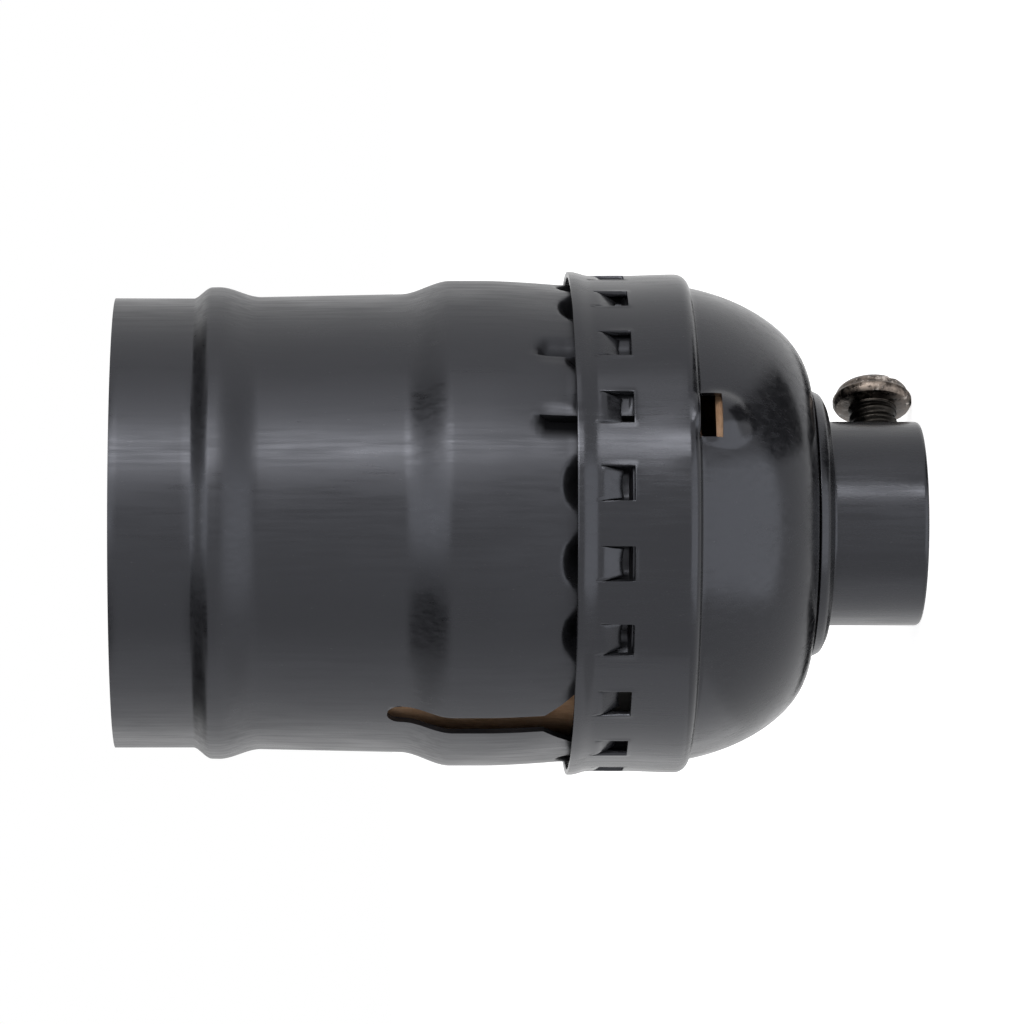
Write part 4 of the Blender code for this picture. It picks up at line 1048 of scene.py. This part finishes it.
def thread_tree(names):
    """Geometry Nodes for the rolled thread: a flat sheet wrapped round and waved."""
    kinds = {name: "Material" if name == "Metal" else "Float" for name in names}
    tree, outputs = new_group("rolled_thread", kinds)
    ridge, depth, pitch, top, foot, corner, floor, rim, metal = outputs
    wall = top - foot - corner
    bend = corner * (pi / 2)
    length = wall + bend + floor
    sheet = {"Size X": tau, "Size Y": length, "Vertices X": 161, "Vertices Y": 260}
    grid = tree.node("GeometryNodeMeshGrid", {}, sheet, "Mesh")
    place = tree.node("GeometryNodeInputPosition")
    parts = tree.node("ShaderNodeSeparateXYZ", {}, {"Vector": place})
    across = Wire(tree, parts.socket.node.outputs["X"])
    along = Wire(tree, parts.socket.node.outputs["Y"]) + length * 0.5
    height = top - along.least(wall)
    turn = (along - wall).most(0.0) / corner
    turn = turn.least(pi / 2)
    on_floor = (along - wall - bend).most(0.0)
    thread_top = top - rim
    thread_foot = foot + corner * 1.6
    fade = ((height - thread_foot) / pitch * 2.0).least((thread_top - height) / pitch * 2.0)
    fade = fade.least(1.0).most(0.0)
    wave = (height / pitch * tau - across).cosine()
    middle = ridge - depth * 0.5
    rim_share = ((height - thread_top) / rim).most(0.0)
    radius = middle + fade * wave * depth * 0.5 + rim_share * depth * 0.5
    radius = radius - corner * (1.0 - turn.cosine()) - on_floor
    level = height - corner * turn.sine()
    parts = {"X": radius * across.sine(), "Y": -(radius * across.cosine()), "Z": level}
    spot = tree.node("ShaderNodeCombineXYZ", {}, parts)
    bent = tree.node("GeometryNodeSetPosition", {}, {"Geometry": grid, "Position": spot})
    end_tree(tree, bent, 0.001 * MM, metal)
    return tree


def make_screw_shell(aluminium):
    shell = new_piece("rolled_thread_shell", bmesh.new())
    corner = 1.1 * MM
    values = {
        "Ridge Radius": THREAD_RADIUS,
        "Thread Depth": 0.9 * MM,
        "Pitch": 3.63 * MM,
        "Top": SCREW_SHELL_TOP_Z,
        "Foot": SCREW_SHELL_Z,
        "Corner": corner,
        "Floor Width": THREAD_RADIUS - 0.45 * MM - corner - 8.2 * MM,
        "Rim Height": 1.3 * MM,
        "Metal": aluminium,
    }
    run_group(shell, thread_tree(values), values)
    turn_outwards(shell)
    thicken(shell, 0.35 * MM)
    soften(shell, 0.05 * MM)
    settle(shell, "base", "plain_aluminium", "screw_shell")


def make_centre_contact(brass):
    """A sprung leaf that rises from its rivet to a rounded crown."""
    low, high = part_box("centre_contact")
    wall = 0.4 * MM
    low_z = low.z + wall / 2
    crown = high.z - wall / 2 - low_z
    root_x = low.x
    bend_x = root_x + 3.1 * MM
    tip_x = high.x
    crown_x = bend_x + 0.7 * (tip_x - bend_x)
    half = (high.y - low.y) / 2
    path = [Vector((x, low_z)) for x in spread(root_x, bend_x, 6)]
    start = Vector((bend_x, low_z))
    top = Vector((crown_x, low_z + crown))
    start_handle = start + Vector((0.3 * (crown_x - bend_x), 0.0))
    top_handle = top - Vector((0.45 * (crown_x - bend_x), 0.0))
    path += interpolate_bezier(start, start_handle, top_handle, top, 20)[1:]
    end = Vector((tip_x - 0.1 * MM, low_z + 0.7 * crown))
    falling_handle = top + Vector((0.5 * (tip_x - crown_x), 0.0))
    end_handle = end + Vector((-0.2 * MM, 0.5 * MM))
    path += interpolate_bezier(top, falling_handle, end_handle, end, 10)[1:]
    bm = bmesh.new()
    reach_x = tip_x - root_x

    def place(point, across):
        from_end = min(point.x - root_x, tip_x - point.x)
        corner = 1.2 * MM
        inset = 0.0
        if from_end < corner:
            inset = corner - sqrt(max(0.0, corner**2 - (corner - from_end) ** 2))
        waist = 0.25 * MM * sin(pi * (point.x - root_x) / reach_x)
        return Vector((point.x, across * (half - inset - waist), point.y))

    lattice(bm, path, spread(-1.0, 1.0, 12), place)
    contact = new_piece("contact_leaf", bm, brass)
    solidify = contact.modifiers.new("wall", "SOLIDIFY")
    solidify.thickness = wall
    solidify.offset = 0.0
    soften(contact, 0.06 * MM)
    settle(contact, "centre_contact", "brass", "centre_contact")


def make_rivets(brass, aluminium):
    plain = (aluminium, "plain_aluminium")
    rivets = {"centre_contact_rivet": (brass, "brass"), "neutral_rivet": plain, "anchor_rivet": plain}
    for node, (metal, slot) in rivets.items():
        low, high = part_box(node)
        head = 1.5 * MM
        rise = 0.65 * MM
        shank = 0.9 * MM
        outline = [(0.0, high.z - 0.12 * MM), (0.35 * head, high.z - 0.1 * MM), (0.5 * head, high.z)]
        outline += [(0.8 * head, high.z - 0.35 * rise), (head, high.z - 0.85 * rise), (head, high.z - rise)]
        outline += [(shank, high.z - rise), (shank, low.z + rise), (head, low.z + rise)]
        outline += [(0.9 * head, low.z + 0.5 * rise), (0.6 * head, low.z + 0.1 * rise), (0.0, low.z)]
        rivet = turned_piece(node.replace("rivet", "fastening"), outline, metal, steps=36, closed=False)
        rivet.data.transform(Matrix.Translation(((low.x + high.x) / 2, 0.0, 0.0)))
        settle(rivet, "base", slot, node)


def dress_node(node, finish):
    """Gives a CAD node that stays its own finish."""
    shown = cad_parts[node]
    for material_slot in shown.material_slots:
        material_slot.material = finish


def aim_camera():
    camera_data = bpy.data.cameras.new("camera")
    camera = stand("camera", camera_data)
    bpy.context.scene.camera = camera
    forward = CAMERA_TARGET - CAMERA_PLACE
    camera_data.angle = 2 * atan(CAMERA_WIDTH / 2 / forward.length)
    forward.normalize()
    up = Matrix.Rotation(CAMERA_ROLL, 3, forward) @ Vector((1.0, 0.0, 0.0))
    right = forward.cross(up).normalized()
    up = right.cross(forward)
    camera.matrix_world = Matrix((right, up, -forward)).transposed().to_4x4()
    camera.location = CAMERA_PLACE


def set_world():
    """White to the camera and in reflections, softer for everything else."""
    world = bpy.data.worlds.new("white_room")
    bpy.context.scene.world = world
    world.use_nodes = True
    tree = Tree(world.node_tree)
    path = world.node_tree.nodes.new("ShaderNodeLightPath")
    seen = Wire(tree, path.outputs["Is Camera Ray"])
    seen = seen.most(Wire(tree, path.outputs["Is Glossy Ray"]))
    seen = seen.most(Wire(tree, path.outputs["Is Transmission Ray"]))
    background = world.node_tree.nodes["Background"]
    background.inputs["Color"].default_value = (1.0, 1.0, 1.0, 1.0)
    tree.link(seen.ramp(0.0, 1.0, ROOM_LIGHT, 1.0), background, "Strength")


def face_socket(thing, turn, tilt, distance):
    """Stands a lamp or a card at a distance, facing the socket, with its height along the axis.

    Turn runs from the camera's side, -Y, towards +X, and tilt towards +Z, in degrees.
    """
    level = cos(radians(tilt))
    direction = around(radians(turn), level, sin(radians(tilt)))
    side = Vector((0.0, 0.0, 1.0)).cross(direction).normalized()
    along = direction.cross(side)
    thing.location = (cad_low + cad_high) / 2 + direction * distance
    thing.rotation_mode = "QUATERNION"
    thing.rotation_quaternion = Matrix((side, along, direction)).transposed().to_quaternion()


def flat_sheet(name, width, height, material):
    bm = bmesh.new()
    bmesh.ops.create_grid(bm, x_segments=1, y_segments=1, size=0.5)
    bmesh.ops.scale(bm, vec=(width, height, 1.0), verts=bm.verts)
    return new_piece(name, bm, material)


def soft_box(name, turn, tilt, width, height, brightness, colour=(1.0, 1.0, 1.0)):
    """An area lamp facing the socket. Its width runs across the socket's axis."""
    lamp_data = bpy.data.lights.new(name, "AREA")
    lamp_data.shape = "RECTANGLE"
    lamp_data.size = width
    lamp_data.size_y = height
    lamp_data.energy = brightness * pi * width * height
    lamp_data.color = colour
    lamp = stand(name, lamp_data)
    lamp.visible_camera = False
    face_socket(lamp, turn, tilt, LAMP_DISTANCE)


def dark_card(name, turn, tilt, width, height):
    """A black card that only shows as a dark patch in the gloss."""
    black_card, _, _ = new_finish("black_card", (0.0, 0.0, 0.0), 1.0, specular=0.0)
    card = flat_sheet(name, width, height, black_card)
    face_socket(card, turn, tilt, CARD_DISTANCE)
    card.visible_camera = False
    card.visible_diffuse = False
    card.visible_shadow = False


def light_room():
    cool = (0.93, 0.96, 1.0)
    soft_box("strip_lamp", 37, 12, 0.14, 0.95, 6.8)
    soft_box("mouth_lamp", 38, 13, 0.36, 0.22, 5.4)
    soft_box("side_lamp", 63, 4, 0.22, 0.4, 0.9)
    soft_box("low_box", -105, 0, 1.4, 0.75, 0.43)
    soft_box("mouth_side_box", 8, 46, 0.5, 0.95, 1.5, cool)
    soft_box("neck_side_box", -3, -47, 0.88, 0.8, 1.25, cool)
    dark_card("lower_card", -55, 45, 0.5, 0.95)
    dark_card("upper_card", 62, 45, 0.38, 0.85)
    dark_card("neck_card", 98, -56, 0.75, 0.42)
    dark_card("foot_card", 180, -38, 0.5, 0.58)
    dark_card("mouth_card", 180, 66, 2.5, 0.8)


def lay_floor():
    """A pale floor that glows a little to the camera and keeps the socket's shadow."""
    pale, shader, tree = new_finish("pale_floor", (0.9, 0.9, 0.9), 0.9, specular=0.0)
    shader.inputs["Emission Strength"].default_value = 1.0
    glow = tree.node("ShaderNodeLightPath", output="Is Camera Ray") * FLOOR_GLOW
    tree.link(blend_colours(tree, glow, (0.0, 0.0, 0.0), (1.0, 1.0, 1.0)), shader, "Emission Color")
    floor = flat_sheet("floor", 6.0, 6.0, pale)
    floor.location = (0.0, 0.0, cad_low.z)
    floor.visible_glossy = False
    floor.visible_shadow = False


black = shaded_black_finish("satin_black", 0.33, 0.4)
black_cap = black_finish("satin_black_cap", 0.21, 0.25)
black_neck = black_finish("satin_black_neck", 0.24, 1.2, 0.15)
paper = paper_finish()
bronze = bronze_finish()
aluminium = bright_finish("rolled_aluminium", (0.78, 0.78, 0.79), (0.6, 0.6, 0.6), 0.24)
brass = bright_finish("stamped_brass", (0.78, 0.57, 0.27), (0.5, 0.34, 0.16), 0.22)
nickel = bright_finish("plated_nickel", (0.68, 0.65, 0.61), (0.5, 0.47, 0.42), 0.25)
zinc = bright_finish("zinc_plate", (0.6, 0.6, 0.62), (0.45, 0.45, 0.44), 0.35)
moulded = moulded_finish()

make_cap(black_cap)
make_outer_shell(black)
make_shell_liner(paper)
make_cap_liner(paper)
make_neck(black_neck)
make_set_screw(bronze)
make_terminal_screws(brass, nickel)
make_screw_shell(aluminium)
make_centre_contact(brass)
make_rivets(brass, aluminium)
dress_node("bushing_washer", zinc)
dress_node("socket_body", moulded)
dress_node("hot_terminal_plate", brass)
dress_node("neutral_terminal_plate", nickel)

aim_camera()
set_world()
light_room()
lay_floor()

bpy.context.scene.view_settings.view_transform = "Standard"
